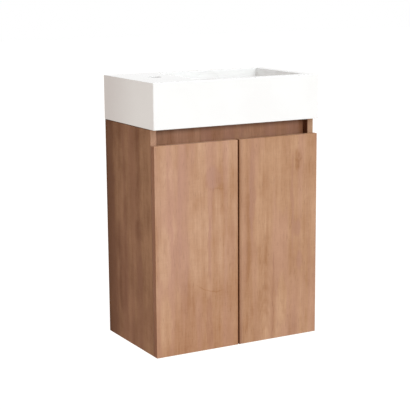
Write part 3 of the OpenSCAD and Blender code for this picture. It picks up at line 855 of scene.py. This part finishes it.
class Finishes:
    """Every finish of the unit, by the piece that wears it."""

    left_door = WoodGrain(
        "wood_door_left", FRONT, (0.31, 0.0, 0.12), Figure(streaks=0.48),
        knots=(Knot((-0.096, -0.297, -0.108), 0.010, 0.34, 0.7),),
        wisps=(
            Wisp((-0.090, -0.297, -0.397), 0.050, 0.0135, -0.0165, 0.0016, 0.30),
            Wisp((-0.068, -0.297, -0.124), 0.028, -0.004, 0.0, 0.0020, 0.20),
        ),
        patches=patches_on(
            ACROSS,
            (-0.222, -0.290, 0.018, 0.085, 0.35, -0.5),
            (-0.221, -0.480, 0.018, 0.090, 0.20, -0.6),
            (-0.204, -0.085, 0.004, 0.030, 0.24, -0.3),
            (-0.195, -0.215, 0.004, 0.045, 0.24, -0.3),
            (-0.168, -0.230, 0.018, 0.240, -0.05, 0.35),
            (-0.172, -0.310, 0.024, 0.080, -0.05, 0.25),
            (-0.122, -0.190, 0.026, 0.200, 0.10, -0.5),
            (-0.076, -0.096, 0.024, 0.030, -0.28, 0.5),
            (-0.090, -0.290, 0.005, 0.080, -0.30, 0.4),
            (-0.090, -0.490, 0.010, 0.080, -0.40, 0.4),
            (-0.205, -0.130, 0.032, 0.140, 0.24, 0.2, 0.5),
            (-0.205, -0.290, 0.010, 0.100, 0.22, 0.2),
            (-0.144, -0.100, 0.012, 0.100, 0.15, 0.3),
            (-0.047, -0.290, 0.012, 0.100, 0.22, 0.2),
            (-0.120, -0.470, 0.012, 0.090, 0.18, 0.2),
            (-0.063, -0.260, 0.020, 0.130, 0.02, -0.4),
            (-0.150, -0.500, 0.048, 0.110, -0.18, 0.15, 0.5),
            (-0.020, -0.280, 0.012, 0.070, -0.12, 0.3),
        ),
        onsets=(shaded_door_edges(Side.LEFT), PAINTED_GAP_SHADOW, FOOT_SHADE),
    )
    right_door = WoodGrain(
        "wood_door_right", LATER_FRONT, (1.74, 0.4, 0.66), Figure(streaks=0.42),
        knots=(Knot((0.190, -0.297, -0.055), 0.008, 0.40), Knot((0.187, -0.297, -0.085), 0.006, 0.30)),
        flames=(Flame((0.086, -0.297, -0.440), 0.020, 0.036, 0.10),),
        wisps=(Wisp((0.188, -0.297, -0.070), 0.014, 0.010, 0.0, 0.0030, 0.30),),
        patches=patches_on(
            ACROSS,
            (0.018, -0.270, 0.016, 0.300, -0.12, -0.2),
            (0.020, -0.335, 0.016, 0.060, -0.25, 0.1),
            (0.043, -0.130, 0.008, 0.140, -0.15, 0.5),
            (0.078, -0.180, 0.030, 0.150, 0.14, -0.4),
            (0.140, -0.130, 0.022, 0.080, 0.05, -0.5),
            (0.170, -0.180, 0.005, 0.130, -0.20, 0.5),
            (0.188, -0.068, 0.010, 0.028, -0.30, -0.2),
            (0.236, -0.180, 0.012, 0.200, 0.16, -0.5),
            (0.186, -0.258, 0.011, 0.022, -0.34, 0.6),
            (0.195, -0.345, 0.012, 0.024, -0.24, 0.5),
            (0.108, -0.415, 0.0016, 0.140, -0.50, 0.2),
            (0.138, -0.450, 0.016, 0.070, 0.18, -0.6),
            (0.099, -0.400, 0.017, 0.220, -0.30, 0.1, 0.5),
            (0.170, -0.460, 0.016, 0.080, 0.25, 0.2),
            (0.209, -0.460, 0.010, 0.090, 0.12, 0.3),
            (0.030, -0.460, 0.014, 0.100, -0.22, 0.1),
            (0.076, -0.170, 0.010, 0.180, 0.22, 0.0),
        ),
        onsets=(shaded_door_edges(Side.RIGHT), PAINTED_GAP_SHADOW, GAP_SHADE),
    )
    left_panel = side_panel(
        Side.LEFT, (0.9, 2.31, 0.37), (1.31, 1.55, 1.90), (0.62, 0.55, 0.50),
        (-0.018, 0.0, 0.028, 0.0, -0.55, 0.3),
        (-0.145, -0.350, 0.026, 0.180, 0.30, 0.2),
        (-0.095, -0.410, 0.022, 0.075, -0.42, 0.2),
        (-0.205, -0.235, 0.030, 0.028, -0.25, 0.1),
        (-0.207, -0.350, 0.018, 0.045, -0.26, 0.3),
        (-0.085, -0.120, 0.030, 0.120, 0.20, -0.3),
        (-0.252, -0.480, 0.022, 0.050, -0.12, 0.4),
        (-0.258, 0.0, 0.034, 0.0, 0.36, 0.0, 0.6),
    )
    # The right panel's inner face gets deeper painted shade, where the recess ends.
    right_panel = side_panel(
        Side.RIGHT, (2.6, 1.12, 0.81), (1.50, 1.95, 2.30), (0.50, 0.42, 0.39),
        (-0.277, 0.0, 0.012, 0.0, -0.45),
        (-0.060, -0.260, 0.022, 0.150, -0.25, 0.3),
        (-0.180, -0.120, 0.030, 0.110, 0.20, -0.3),
        (-0.230, -0.400, 0.018, 0.090, -0.20, 0.4),
    )
    recess = WoodGrain(
        "wood_recess_rail", SHADED_RECESS, (3.7, 0.3, 0.2),
        # Painted shade at the rail's right end, where the recess meets the right panel.
        patches=patches_on(ACROSS, (0.236, 0.0, 0.018, 0.0, -0.5, 0.0, 0.2)),
        onsets=(SEAT_SHADOW, OVERHANG_SHADOW, RAIL_END_SHADE),
    )
    across = WoodGrain("wood_boards_across", FRONT, (0.2, 1.9, 3.3), grain=Grain.ACROSS)
    shelf = WoodGrain("wood_shelf", FRONT, (1.2, 0.7, 2.1), grain=Grain.ACROSS)
    beech = WoodGrain(
        "beech_dowel", BEECH, ORIGIN, Figure(columns=260.0, wander=0.002), Grain.ACROSS, roughness=0.62
    )
    basin = Glaze(
        "ceramic_white_glaze", tint(249, 249, 248), tint(247, 246, 245), tint(226, 219, 204),
        # Painted warm light on the outer sides, and painted shade on them towards the wall.
        outer=Onset(ORIGIN, 0.2486, 0.2496, (1.04, 1.005, 0.975)),
        painted_wall_shade=Onset(ORIGIN, 0.250, -0.020, (0.755, 0.715, 0.705), ALONG),
    )
    nickel = Metal("hinge_nickel", tint(196, 194, 190), 0.26, marks=Handling(90.0, (1.0, 1.0, 8.0)))
    pin = Metal("pin_polished", tint(214, 213, 210), 0.14, smear=0.05)
    zinc = Metal("screw_zinc", tint(190, 194, 200), 0.34)
    cast = Metal("cam_die_cast", tint(176, 178, 182), 0.46, pits=0.5)
    sheet = Metal("plate_galvanised", tint(186, 190, 194), 0.38, spangle=0.3)
    plastic = Moulded("hanger_plastic", tint(226, 226, 222), tint(216, 216, 211), 0.42)
    silicone = Moulded("sealant_silicone", tint(222, 221, 216), tint(210, 208, 202), 0.3, 0.3)
    bumper = Moulded("bumper_soft", tint(232, 232, 230), tint(222, 222, 219), 0.22, 0.05, 0.5)


# ---------------------------------------------------------------- modelling steps


class Bench:
    """Modelling steps shared by the new pieces, done with Blender's own tools."""

    @staticmethod
    def take(obj: Piece) -> None:
        """Makes an object the only selected one.

        Args:
            obj: The object.
        """
        if bpy.context.object is not None and bpy.context.object.mode != "OBJECT":
            bpy.ops.object.mode_set(mode="OBJECT")
        bpy.ops.object.select_all(action="DESELECT")
        obj.select_set(True)
        bpy.context.view_layer.objects.active = obj

    @staticmethod
    def settle(name: str) -> Piece:
        """Names a new primitive and puts its place and size into its mesh.

        Args:
            name: The piece's name.

        Returns:
            The settled object.
        """
        obj = bpy.context.object
        Bench.take(obj)
        bpy.ops.object.transform_apply(location=True, rotation=True, scale=True)
        obj.name = obj.data.name = name
        return obj

    @staticmethod
    def block(name: str, low: Triple, high: Triple) -> Piece:
        """Adds a block.

        Args:
            name: The piece's name.
            low: Lowest corner.
            high: Highest corner.

        Returns:
            The block.
        """
        start, end = Vector(low), Vector(high)
        bpy.ops.mesh.primitive_cube_add(size=1.0, location=(start + end) / 2)
        bpy.context.object.scale = end - start
        return Bench.settle(name)

    @staticmethod
    def rod(name: str, start: Triple, end: Triple, radius: float, sides: int = 64) -> Piece:
        """Adds a round rod.

        Args:
            name: The piece's name.
            start: Centre of one end.
            end: Centre of the other end.
            radius: Radius of the rod.
            sides: Number of flat sides.

        Returns:
            The rod.
        """
        a, b = Vector(start), Vector(end)
        bpy.ops.mesh.primitive_cylinder_add(
            vertices=sides, radius=radius, depth=(b - a).length, location=(a + b) / 2
        )
        bpy.context.object.rotation_euler = (b - a).to_track_quat("Z", "Y").to_euler()
        return Bench.settle(name)

    @staticmethod
    def post(name: str, at: Pair, low: float, high: float, radius: float) -> Piece:
        """Adds an upright rod between two heights."""
        return Bench.rod(name, (*at, low), (*at, high), radius)

    @staticmethod
    @contextmanager
    def opened(obj: Piece, kind: str = "VERT", wanted: Picker | None = None) -> Iterator[None]:
        """Opens an object in edit mode, with all or some of it selected, and shuts it afterwards.

        Args:
            obj: The object.
            kind: EDGE or FACE, where only some are selected.
            wanted: Tells whether an edge or face is selected.

        Yields:
            Nothing, while the object is open.
        """
        Bench.take(obj)
        bpy.ops.object.mode_set(mode="EDIT")
        bpy.ops.mesh.select_mode(type=kind)
        bpy.ops.mesh.select_all(action="DESELECT" if wanted else "SELECT")
        if wanted:
            mesh = bmesh.from_edit_mesh(obj.data)
            for part in mesh.edges if kind == "EDGE" else mesh.faces:
                if wanted(part):
                    part.select_set(True)
            bmesh.update_edit_mesh(obj.data)
        yield
        bpy.ops.object.mode_set(mode="OBJECT")

    @staticmethod
    def modify(obj: Piece, kind: str, **settings: object) -> None:
        """Puts a modifier on an object and applies it.

        Args:
            obj: The object.
            kind: Blender's name of the modifier's type.
            settings: Attributes to set on the modifier.
        """
        Bench.take(obj)
        modifier = obj.modifiers.new(kind.lower(), kind)
        for name, value in settings.items():
            setattr(modifier, name, value)
        bpy.ops.object.modifier_apply(modifier=modifier.name)

    @staticmethod
    def round_edges(obj: Piece, wanted: Picker, radius: float, steps: int) -> None:
        """Rounds some edges with a radius, by a number of flats."""
        with Bench.opened(obj, "EDGE", wanted):
            bpy.ops.mesh.bevel(
                offset=radius, offset_type="OFFSET", segments=steps, profile=HALFWAY[0], affect="EDGES"
            )

    @staticmethod
    def split(obj: Piece, place: Triple, across: Triple) -> None:
        """Cuts an object's faces along a plane, so that a later hole leaves them simple."""
        with Bench.opened(obj):
            bpy.ops.mesh.bisect(plane_co=place, plane_no=across)

    @staticmethod
    def combine(obj: Piece, tool: Piece, how: str = "DIFFERENCE") -> None:
        """Cuts an object with a tool, or joins them as a UNION. The tool is used up."""
        Bench.modify(obj, "BOOLEAN", operation=how, object=tool, solver="EXACT")
        bpy.data.objects.remove(tool, do_unlink=True)

    @staticmethod
    def close(obj: Piece, degrees: float = 30) -> None:
        """Merges doubles, turns the faces outwards and smooths the shading.

        Args:
            obj: The object.
            degrees: Edges sharper than this angle stay sharp.
        """
        with Bench.opened(obj):
            bpy.ops.mesh.remove_doubles(threshold=EPS / 10)
            bpy.ops.mesh.normals_make_consistent(inside=False)
        bpy.ops.object.shade_smooth_by_angle(angle=math.radians(degrees))
        Bench.modify(obj, "WEIGHTED_NORMAL", keep_sharp=True)


def upright(edge: bmesh.types.BMEdge) -> bool:
    """Tells whether an edge stands along Z."""
    a, b = (vertex.co for vertex in edge.verts)
    return abs(a.x - b.x) < EPS and abs(a.y - b.y) < EPS


def lies_at(edge: bmesh.types.BMEdge, axis: int, place: float) -> bool:
    """Tells whether an edge lies at a place on an axis."""
    return all(abs(vertex.co[axis] - place) < EPS for vertex in edge.verts)


def dress(obj: Piece, finish: Finish) -> None:
    """Gives a piece its finish and logs which one it wears.

    Args:
        obj: The piece.
        finish: Its finish.
    """
    obj.data.materials.clear()
    obj.data.materials.append(finish.make())
    LOG.info("%s wears %s", obj.name, finish.name)


# ---------------------------------------------------------------- sub-assemblies


@dataclass
class Basin:
    """One-piece glazed basin: a tap ledge on the left and a bowl on the right."""

    low: Vector
    high: Vector
    corner: float = 0.003
    lip: float = 0.0016
    ledge: float = 0.150
    rim_right: float = 0.030
    rim_front: float = 0.030
    rim_back: float = 0.025
    bowl_depth: float = 0.090
    bowl_round: float = 0.020
    corner_share: float = 0.25
    bowl_fall: float = 0.0055
    fall_power: float = 0.8
    mouth_round: float = 0.0022
    tap_round: float = 0.0007
    wall: float = 0.014
    ceramic: float = 0.012
    tap: Pair = (-0.165, -0.140)
    tap_radius: float = 0.0175
    waste_radius: float = 0.0225
    waste_length: float = 0.024
    slot_width: float = 0.060
    slot_height: float = 0.007
    slot_drop: float = 0.028
    slot_wall: float = 0.005
    scoop_drop: float = 0.021
    scoop_half: Triple = (0.034, 0.0022, 0.0185)
    scoop_sides: tuple[int, int] = (64, 32)
    reach: float = 0.02
    floor_cuts: int = 13
    steps: int = 6
    lip_steps: int = 3
    mouth_steps: int = 4
    bowl_steps: int = 8

    def __post_init__(self) -> None:
        """Works out the bowl's box from the rims around it."""
        left, front = self.low.x + self.ledge, self.low.y + self.rim_front
        self.bowl_low = Vector((left, front, self.high.z - self.bowl_depth))
        self.bowl_high = Vector((self.high.x - self.rim_right, -self.rim_back, self.high.z))
        middle = (self.bowl_low + self.bowl_high) / 2
        self.waste = (middle.x, middle.y)
        self.above, self.below = self.high.z + self.reach, self.low.z - self.reach

    def outside(self) -> Piece:
        """Makes the basin's block with round corners and lips.

        Returns:
            The block.
        """
        body = Bench.block("basin_shell", self.low, self.high)
        Bench.round_edges(body, upright, self.corner, self.steps)
        ends = (self.high.z, self.low.z)
        Bench.round_edges(
            body, lambda e: any(lies_at(e, Z_AXIS, end) for end in ends), self.lip, self.lip_steps
        )
        for centre, across in ((self.tap, ACROSS), (self.waste, ACROSS), (self.waste, ALONG)):
            Bench.split(body, (*centre, 0.0), across)
        return body

    def bowl(self) -> Piece:
        """Makes the bowl's space with round corners.

        Returns:
            The space.
        """
        start = self.bowl_low + Vector((0.0, 0.0, self.bowl_fall))
        floor, space = start.z, Bench.block("bowl_space", start, (*self.bowl_high.xy, self.above))
        shares = space.data.attributes.new("bevel_weight_edge", "FLOAT", "EDGE")
        for edge in space.data.edges:
            a, b = (space.data.vertices[i].co.z for i in edge.vertices)
            if abs(a - floor) < EPS and abs(b - floor) < EPS:
                shares.data[edge.index].value = 1.0
            elif abs(a - b) > EPS:
                shares.data[edge.index].value = self.corner_share
        Bench.modify(space, "BEVEL", limit_method="WEIGHT", width=self.bowl_round, segments=self.bowl_steps)
        self.sink_floor(space, floor)
        return space

    def sink_floor(self, space: Piece, floor: float) -> None:
        """Lets the bowl's floor dip to the waste.

        Args:
            space: The bowl's space.
            floor: Height of its flat floor.
        """
        with Bench.opened(space, "FACE", lambda face: face.normal.z < -FLAT):
            bpy.ops.mesh.inset(thickness=self.corner)
            bpy.ops.mesh.subdivide(number_cuts=self.floor_cuts)
        half = (self.bowl_high - self.bowl_low) / 2 - Vector((1, 1, 0)) * (self.bowl_round + self.corner)
        for vertex in space.data.vertices:
            if abs(vertex.co.z - floor) < EPS:
                across = min(1.0, abs(vertex.co.x - self.waste[0]) / half.x)
                along = min(1.0, abs(vertex.co.y - self.waste[1]) / half.y)
                share = (1 - across**2) * (1 - along**2)
                vertex.co.z -= self.bowl_fall * max(0.0, share) ** self.fall_power

    def hollow(self) -> Piece:
        """Makes the space under the ledge and the bowl, with the waste's boss left standing.

        Returns:
            The space.
        """
        ledge = Bench.block(
            "ledge_hollow",
            (self.low.x + self.wall, self.low.y + self.wall, self.below),
            (self.bowl_low.x - self.ceramic, -self.wall, self.high.z - self.ceramic),
        )
        bowl = Bench.block(
            "bowl_hollow",
            (self.bowl_low.x - self.ceramic - self.wall, self.low.y + self.wall + EPS, self.below + EPS),
            (self.high.x - self.wall, -self.wall - EPS, self.bowl_low.z - self.ceramic),
        )
        foot, radius = self.bowl_low.z - self.waste_length, self.waste_radius + self.ceramic
        Bench.combine(bowl, Bench.post("waste_boss", self.waste, foot, self.high.z, radius))
        Bench.combine(ledge, bowl, "UNION")
        return ledge

    def overflow(self) -> list[Piece]:
        """Makes the shallow oval scoop, the slot and the channel behind it.

        Returns:
            The three spaces.
        """
        middle, back = self.waste[0], self.bowl_high.y
        left, right = middle - self.slot_width / 2, middle + self.slot_width / 2
        slot_z, round_off = self.high.z - self.slot_drop, self.slot_height / 2
        bpy.ops.mesh.primitive_uv_sphere_add(
            segments=self.scoop_sides[0], ring_count=self.scoop_sides[1], radius=1.0,
            location=(middle, back, self.high.z - self.scoop_drop),
        )
        bpy.context.object.scale = self.scoop_half
        scoop = Bench.settle("overflow_scoop")
        slot = Bench.block(
            "overflow_slot",
            (left, back - self.slot_wall, slot_z - round_off),
            (right, back + self.slot_wall + EPS, slot_z + round_off),
        )
        Bench.round_edges(
            slot,
            lambda e: abs(e.verts[0].co.y - e.verts[1].co.y) > self.slot_wall,
            round_off - EPS,
            self.steps,
        )
        channel = Bench.block(
            "overflow_channel",
            (left, back + self.slot_wall, self.bowl_low.z - self.ceramic - EPS * 10),
            (right, -self.wall, slot_z + round_off),
        )
        return [scoop, slot, channel]

    def drains(self) -> list[Piece]:
        """Makes the tap hole and the waste hole."""
        tap = Bench.post("tap_hole", self.tap, self.high.z - 2 * self.ceramic, self.above, self.tap_radius)
        return [tap, Bench.post("waste_hole", self.waste, self.below, self.above, self.waste_radius)]

    def is_brink(self, edge: bmesh.types.BMEdge, from_x: float, to_x: float) -> bool:
        """Tells whether an edge borders an opening in the top.

        Args:
            edge: The edge.
            from_x: Lowest X of the opening.
            to_x: Highest X of the opening.

        Returns:
            True for such an edge.
        """
        if len(edge.link_faces) != 2 or not lies_at(edge, Z_AXIS, self.high.z):
            return False
        lifts = sorted(abs(face.normal.z) for face in edge.link_faces)
        middle = (edge.verts[0].co + edge.verts[1].co) / 2
        inside = from_x < middle.x < to_x and self.low.y + self.wall < middle.y < -self.wall
        return inside and lifts[1] > FLAT and lifts[0] < 1 - FLAT

    def build(self) -> None:
        """Cuts the bowl, hollow and holes from the block, then rounds the brinks and glazes it."""
        body = self.outside()
        for tool in (self.bowl(), self.hollow(), *self.overflow(), *self.drains()):
            Bench.combine(body, tool)
        start, middle, end = self.low.x + self.wall, self.bowl_low.x - self.ceramic, self.high.x - self.wall
        for span, radius, steps in (
            ((start, middle), self.tap_round, self.lip_steps),
            ((middle, end), self.mouth_round, self.mouth_steps),
        ):
            Bench.round_edges(body, lambda e: self.is_brink(e, *span), radius, steps)
        Bench.close(body)
        dress(body, Finishes.basin)
        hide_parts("basin")
        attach(body, "carcass")


@dataclass
class DoorLeaf:
    """A slab door with its two hinge cup pockets."""

    side: Side
    finish: Finish
    low: Vector
    high: Vector
    ease: float = 0.0009
    steps: int = 3
    hinge_in: float = 0.100
    cup_in: float = 0.0225
    cup_radius: float = 0.0176
    cup_depth: float = 0.0117
    ear_off: float = 0.0095
    screw_gap: float = 0.045
    screw_radius: float = 0.00185
    screw_depth: float = 0.0113
    screw_sides: int = 24
    reach: float = 0.004

    def pockets(self) -> list[Piece]:
        """Makes the cups' and their screws' holes.

        Returns:
            The holes of both hinges.
        """
        edge = self.low.x if self.side is Side.LEFT else self.high.x
        cup, back = edge - self.side.value * self.cup_in, self.high.y
        ear, end = cup - self.side.value * self.ear_off, self.high.y + self.reach
        tools = []
        for z in (self.low.z + self.hinge_in, self.high.z - self.hinge_in):
            floor = (cup, back - self.cup_depth, z)
            tools.append(Bench.rod("cup_pocket", floor, (cup, end, z), self.cup_radius))
            for height in (z - self.screw_gap / 2, z + self.screw_gap / 2):
                tip, mouth = (ear, back - self.screw_depth, height), (ear, end, height)
                tools.append(Bench.rod("cup_screw_hole", tip, mouth, self.screw_radius, self.screw_sides))
        return tools

    def build(self) -> None:
        """Makes the slab, rounds its edging and drills its back."""
        leaf = Bench.block(f"door_leaf_board_{self.side.word}", self.low, self.high)
        Bench.round_edges(leaf, lambda e: True, self.ease, self.steps)
        for tool in self.pockets():
            Bench.combine(leaf, tool)
        Bench.close(leaf)
        dress(leaf, self.finish)
        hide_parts(f"door_{self.side.word}")
        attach(leaf, f"door_leaf_{self.side.word}")


@dataclass
class Bumpers:
    """Two soft domed bumpers on the bottom panel's front edge."""

    low: Vector
    high: Vector
    radius: float = 0.004
    sides: int = 48
    dome: float = 0.0014
    steps: int = 5
    sharp: float = 40

    def build(self) -> None:
        """Makes one bumper, copies it to the other side and joins the two."""
        left, right = self.low.x + self.radius, self.high.x - self.radius
        height = (self.low.z + self.high.z) / 2
        ends = (left, self.low.y, height), (left, self.high.y, height)
        both = Bench.rod("bumper_domes", *ends, self.radius, self.sides)
        Bench.round_edges(both, lambda e: lies_at(e, Y_AXIS, self.low.y), self.dome, self.steps)
        Bench.take(both)
        bpy.ops.object.duplicate()
        bpy.context.object.location.x += right - left
        both.select_set(True)
        bpy.context.view_layer.objects.active = both
        bpy.ops.object.join()
        Bench.close(both, self.sharp)
        dress(both, Finishes.bumper)
        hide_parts("door_bumpers")
        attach(both, "carcass")


@dataclass(frozen=True)
class Outfit:
    """One finish and one slot of the record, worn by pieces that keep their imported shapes."""

    finish: Finish
    slot: str
    nodes: tuple[str, ...]

    def put_on(self, ending: str = "") -> None:
        """Dresses the pieces, whose names may have an ending."""
        for node in self.nodes:
            dress(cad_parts[f"{node}{ending}"], self.finish)


@dataclass
class Carcass:
    """The cabinet's boards and fittings."""

    outfits: tuple[Outfit, ...] = (
        Outfit(Finishes.left_panel, "wood_board", ("side_panel_left",)),
        Outfit(Finishes.right_panel, "wood_board", ("side_panel_right",)),
        Outfit(Finishes.recess, "wood_board", ("recess_rail",)),
        Outfit(Finishes.across, "wood_board", ("bottom_panel", "hanging_rail", "lower_back_rail")),
        Outfit(Finishes.shelf, "wood_board", ("shelf",)),
        Outfit(Finishes.beech, "dowel_wood", ("wood_dowels",)),
        Outfit(Finishes.nickel, "hinge_steel", ("shelf_pins",)),
        Outfit(Finishes.cast, "cam_zinc", ("cam_locks",)),
        Outfit(Finishes.zinc, "zinc_screw", ("cam_bolts",)),
        Outfit(Finishes.zinc, "zinc_screw", ("hanger_adjusting_screws", "hanger_fixing_screws")),
        Outfit(Finishes.sheet, "plate_steel", ("hanger_hooks", "wall_plates")),
        Outfit(Finishes.plastic, "hanger_plastic", ("hanger_bodies",)),
        Outfit(Finishes.silicone, "silicone", ("basin_sealant",)),
    )

    def build(self) -> None:
        """Dresses every board and fitting."""
        for outfit in self.outfits:
            outfit.put_on()


@dataclass
class Hinges:
    """The two cup hinges of one door."""

    side: Side
    outfits: tuple[Outfit, ...] = (
        Outfit(
            Finishes.nickel,
            "hinge_steel",
            ("hinge_cups", "outer_links", "inner_links", "hinge_arms", "mounting_plates"),
        ),
        Outfit(Finishes.pin, "pin_steel", ("cup_pins", "arm_pins")),
        Outfit(Finishes.zinc, "zinc_screw", ("cup_screws", "plate_screws", "arm_screws")),
    )

    def build(self) -> None:
        """Dresses every hinge part of this side."""
        for outfit in self.outfits:
            outfit.put_on(f"_{self.side.word}")


# ---------------------------------------------------------------- studio


@dataclass(frozen=True)
class Lamp:
    """A wide soft lamp, far away. Its angle is in degrees."""

    name: str
    strength: float
    comes_from: Triple
    angle: float
    colour: Colour = (0.875, 0.935, 0.965)

    def hang(self) -> None:
        """Hangs the lamp on its side of the scene."""
        lamp = bpy.data.lights.new(self.name, "SUN")
        lamp.energy, lamp.angle, lamp.color = self.strength, math.radians(self.angle), self.colour
        holder = bpy.data.objects.new(self.name, lamp)
        holder.rotation_mode = "QUATERNION"
        holder.rotation_quaternion = Vector(self.comes_from).to_track_quat("Z", "Y")
        bpy.context.scene.collection.objects.link(holder)


@dataclass
class Studio:
    """Pale floor, soft light and a white backdrop."""

    floor_z: float = -1.5
    floor_size: float = 60.0
    floor_colour: Colour = (0.80, 0.77, 0.745)
    floor_glow: float = 0.42
    sky: float = 0.548
    sky_colour: Colour = (1.0, 0.955, 0.925)
    key: Lamp = Lamp("soft_key", 1.40, (0.30, -0.62, 0.76), 40)
    front: Lamp = Lamp("soft_front", 0.745, (0.15, -1.0, 0.20), 28)

    @staticmethod
    def seen(s: Sheet) -> Socket:
        """Finds the rays that show the backdrop.

        Args:
            s: Sheet of the sky or floor.

        Returns:
            1 for a ray from the camera, a reflection or through glass.
        """
        path = s.add("ShaderNodeLightPath").outputs
        direct = s.math("ADD", path["Is Camera Ray"], path["Is Glossy Ray"])
        return s.math("ADD", direct, path["Is Transmission Ray"], clamp=True)

    def build_sky(self) -> None:
        """Makes a world that looks white and lights softly."""
        world = bpy.data.worlds.new("studio")
        bpy.context.scene.world = world
        world.use_nodes = True
        s = Sheet(world.node_tree)
        seen = self.seen(s)
        light = s.span(seen, 0.0, 1.0, self.sky, 1.0)
        plain = s.fill(
            s.add("ShaderNodeBackground"), Strength=light, Color=s.blend(seen, self.sky_colour, WHOLE)
        )
        s.fill(s.add("ShaderNodeOutputWorld"), Surface=plain.outputs[0])

    def build_floor(self) -> None:
        """Makes the floor: white to look at, with the unit's soft shadow, and open from below."""
        bpy.ops.mesh.primitive_plane_add(size=self.floor_size, location=(0.0, 0.0, self.floor_z))
        floor = Bench.settle("floor")
        material = bpy.data.materials.new("floor_pale")
        material.use_nodes = True
        s = Sheet(material.node_tree)
        matt = s.fill(s.add("ShaderNodeBsdfDiffuse"), Color=self.floor_colour).outputs[0]
        lit = s.math("MULTIPLY", self.seen(s), self.floor_glow)
        glow = s.fill(s.add("ShaderNodeEmission"), Strength=lit).outputs[0]
        both = s.fill(s.add("ShaderNodeAddShader"), matt, glow).outputs[0]
        under = s.add("ShaderNodeNewGeometry").outputs["Backfacing"]
        through = s.add("ShaderNodeBsdfTransparent").outputs[0]
        sides = s.fill(s.add("ShaderNodeMixShader"), under, both, through).outputs[0]
        s.fill(s.add("ShaderNodeOutputMaterial"), Surface=sides)
        floor.data.materials.append(material)

    def build(self) -> None:
        """Makes the sky and floor, hangs the lamps and keeps colours as written."""
        self.build_sky()
        self.build_floor()
        for lamp in (self.key, self.front):
            lamp.hang()
        bpy.context.scene.view_settings.view_transform = "Standard"


@dataclass
class Viewpoint:
    """The camera at the photograph's viewing angle. Its focal length is in pixels."""

    place: Triple = (-1.592127, -3.004601, 0.434000)
    yaw: float = 0.503202
    pitch: float = 0.191272
    roll: float = -0.007520
    focal: float = 1204.920
    frame_width: float = 410.0
    sensor: float = 36.0
    nearest: float = 0.05
    farthest: float = 200.0

    def build(self) -> None:
        """Makes the camera and turns it by its yaw, pitch and roll."""
        data = bpy.data.cameras.new("viewpoint")
        data.sensor_width = self.sensor
        data.lens = self.focal / self.frame_width * self.sensor
        data.clip_start, data.clip_end = self.nearest, self.farthest
        camera = bpy.data.objects.new("viewpoint", data)
        bpy.context.scene.collection.objects.link(camera)
        east, north, flat = math.sin(self.yaw), math.cos(self.yaw), math.cos(self.pitch)
        ahead = Vector((east * flat, north * flat, -math.sin(self.pitch)))
        level = Vector((north, -east, 0.0))
        rise = level.cross(ahead)
        right = math.cos(self.roll) * level + math.sin(self.roll) * rise
        above = math.cos(self.roll) * rise - math.sin(self.roll) * level
        turn = Matrix((right, above, -ahead)).transposed().to_4x4()
        camera.matrix_world = Matrix.Translation(self.place) @ turn
        bpy.context.scene.camera = camera


def main() -> None:
    """Builds the camera, studio, carcass, hinges, doors, bumpers and basin in order."""
    logging.basicConfig(level=logging.INFO)
    Viewpoint().build()
    Studio().build()
    Carcass().build()
    for side, finish in ((Side.LEFT, Finishes.left_door), (Side.RIGHT, Finishes.right_door)):
        Hinges(side).build()
        DoorLeaf(side, finish, *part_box(f"door_{side.word}")).build()
    Bumpers(*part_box("door_bumpers")).build()
    Basin(*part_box("basin")).build()


if __name__ == "__main__":
    main()
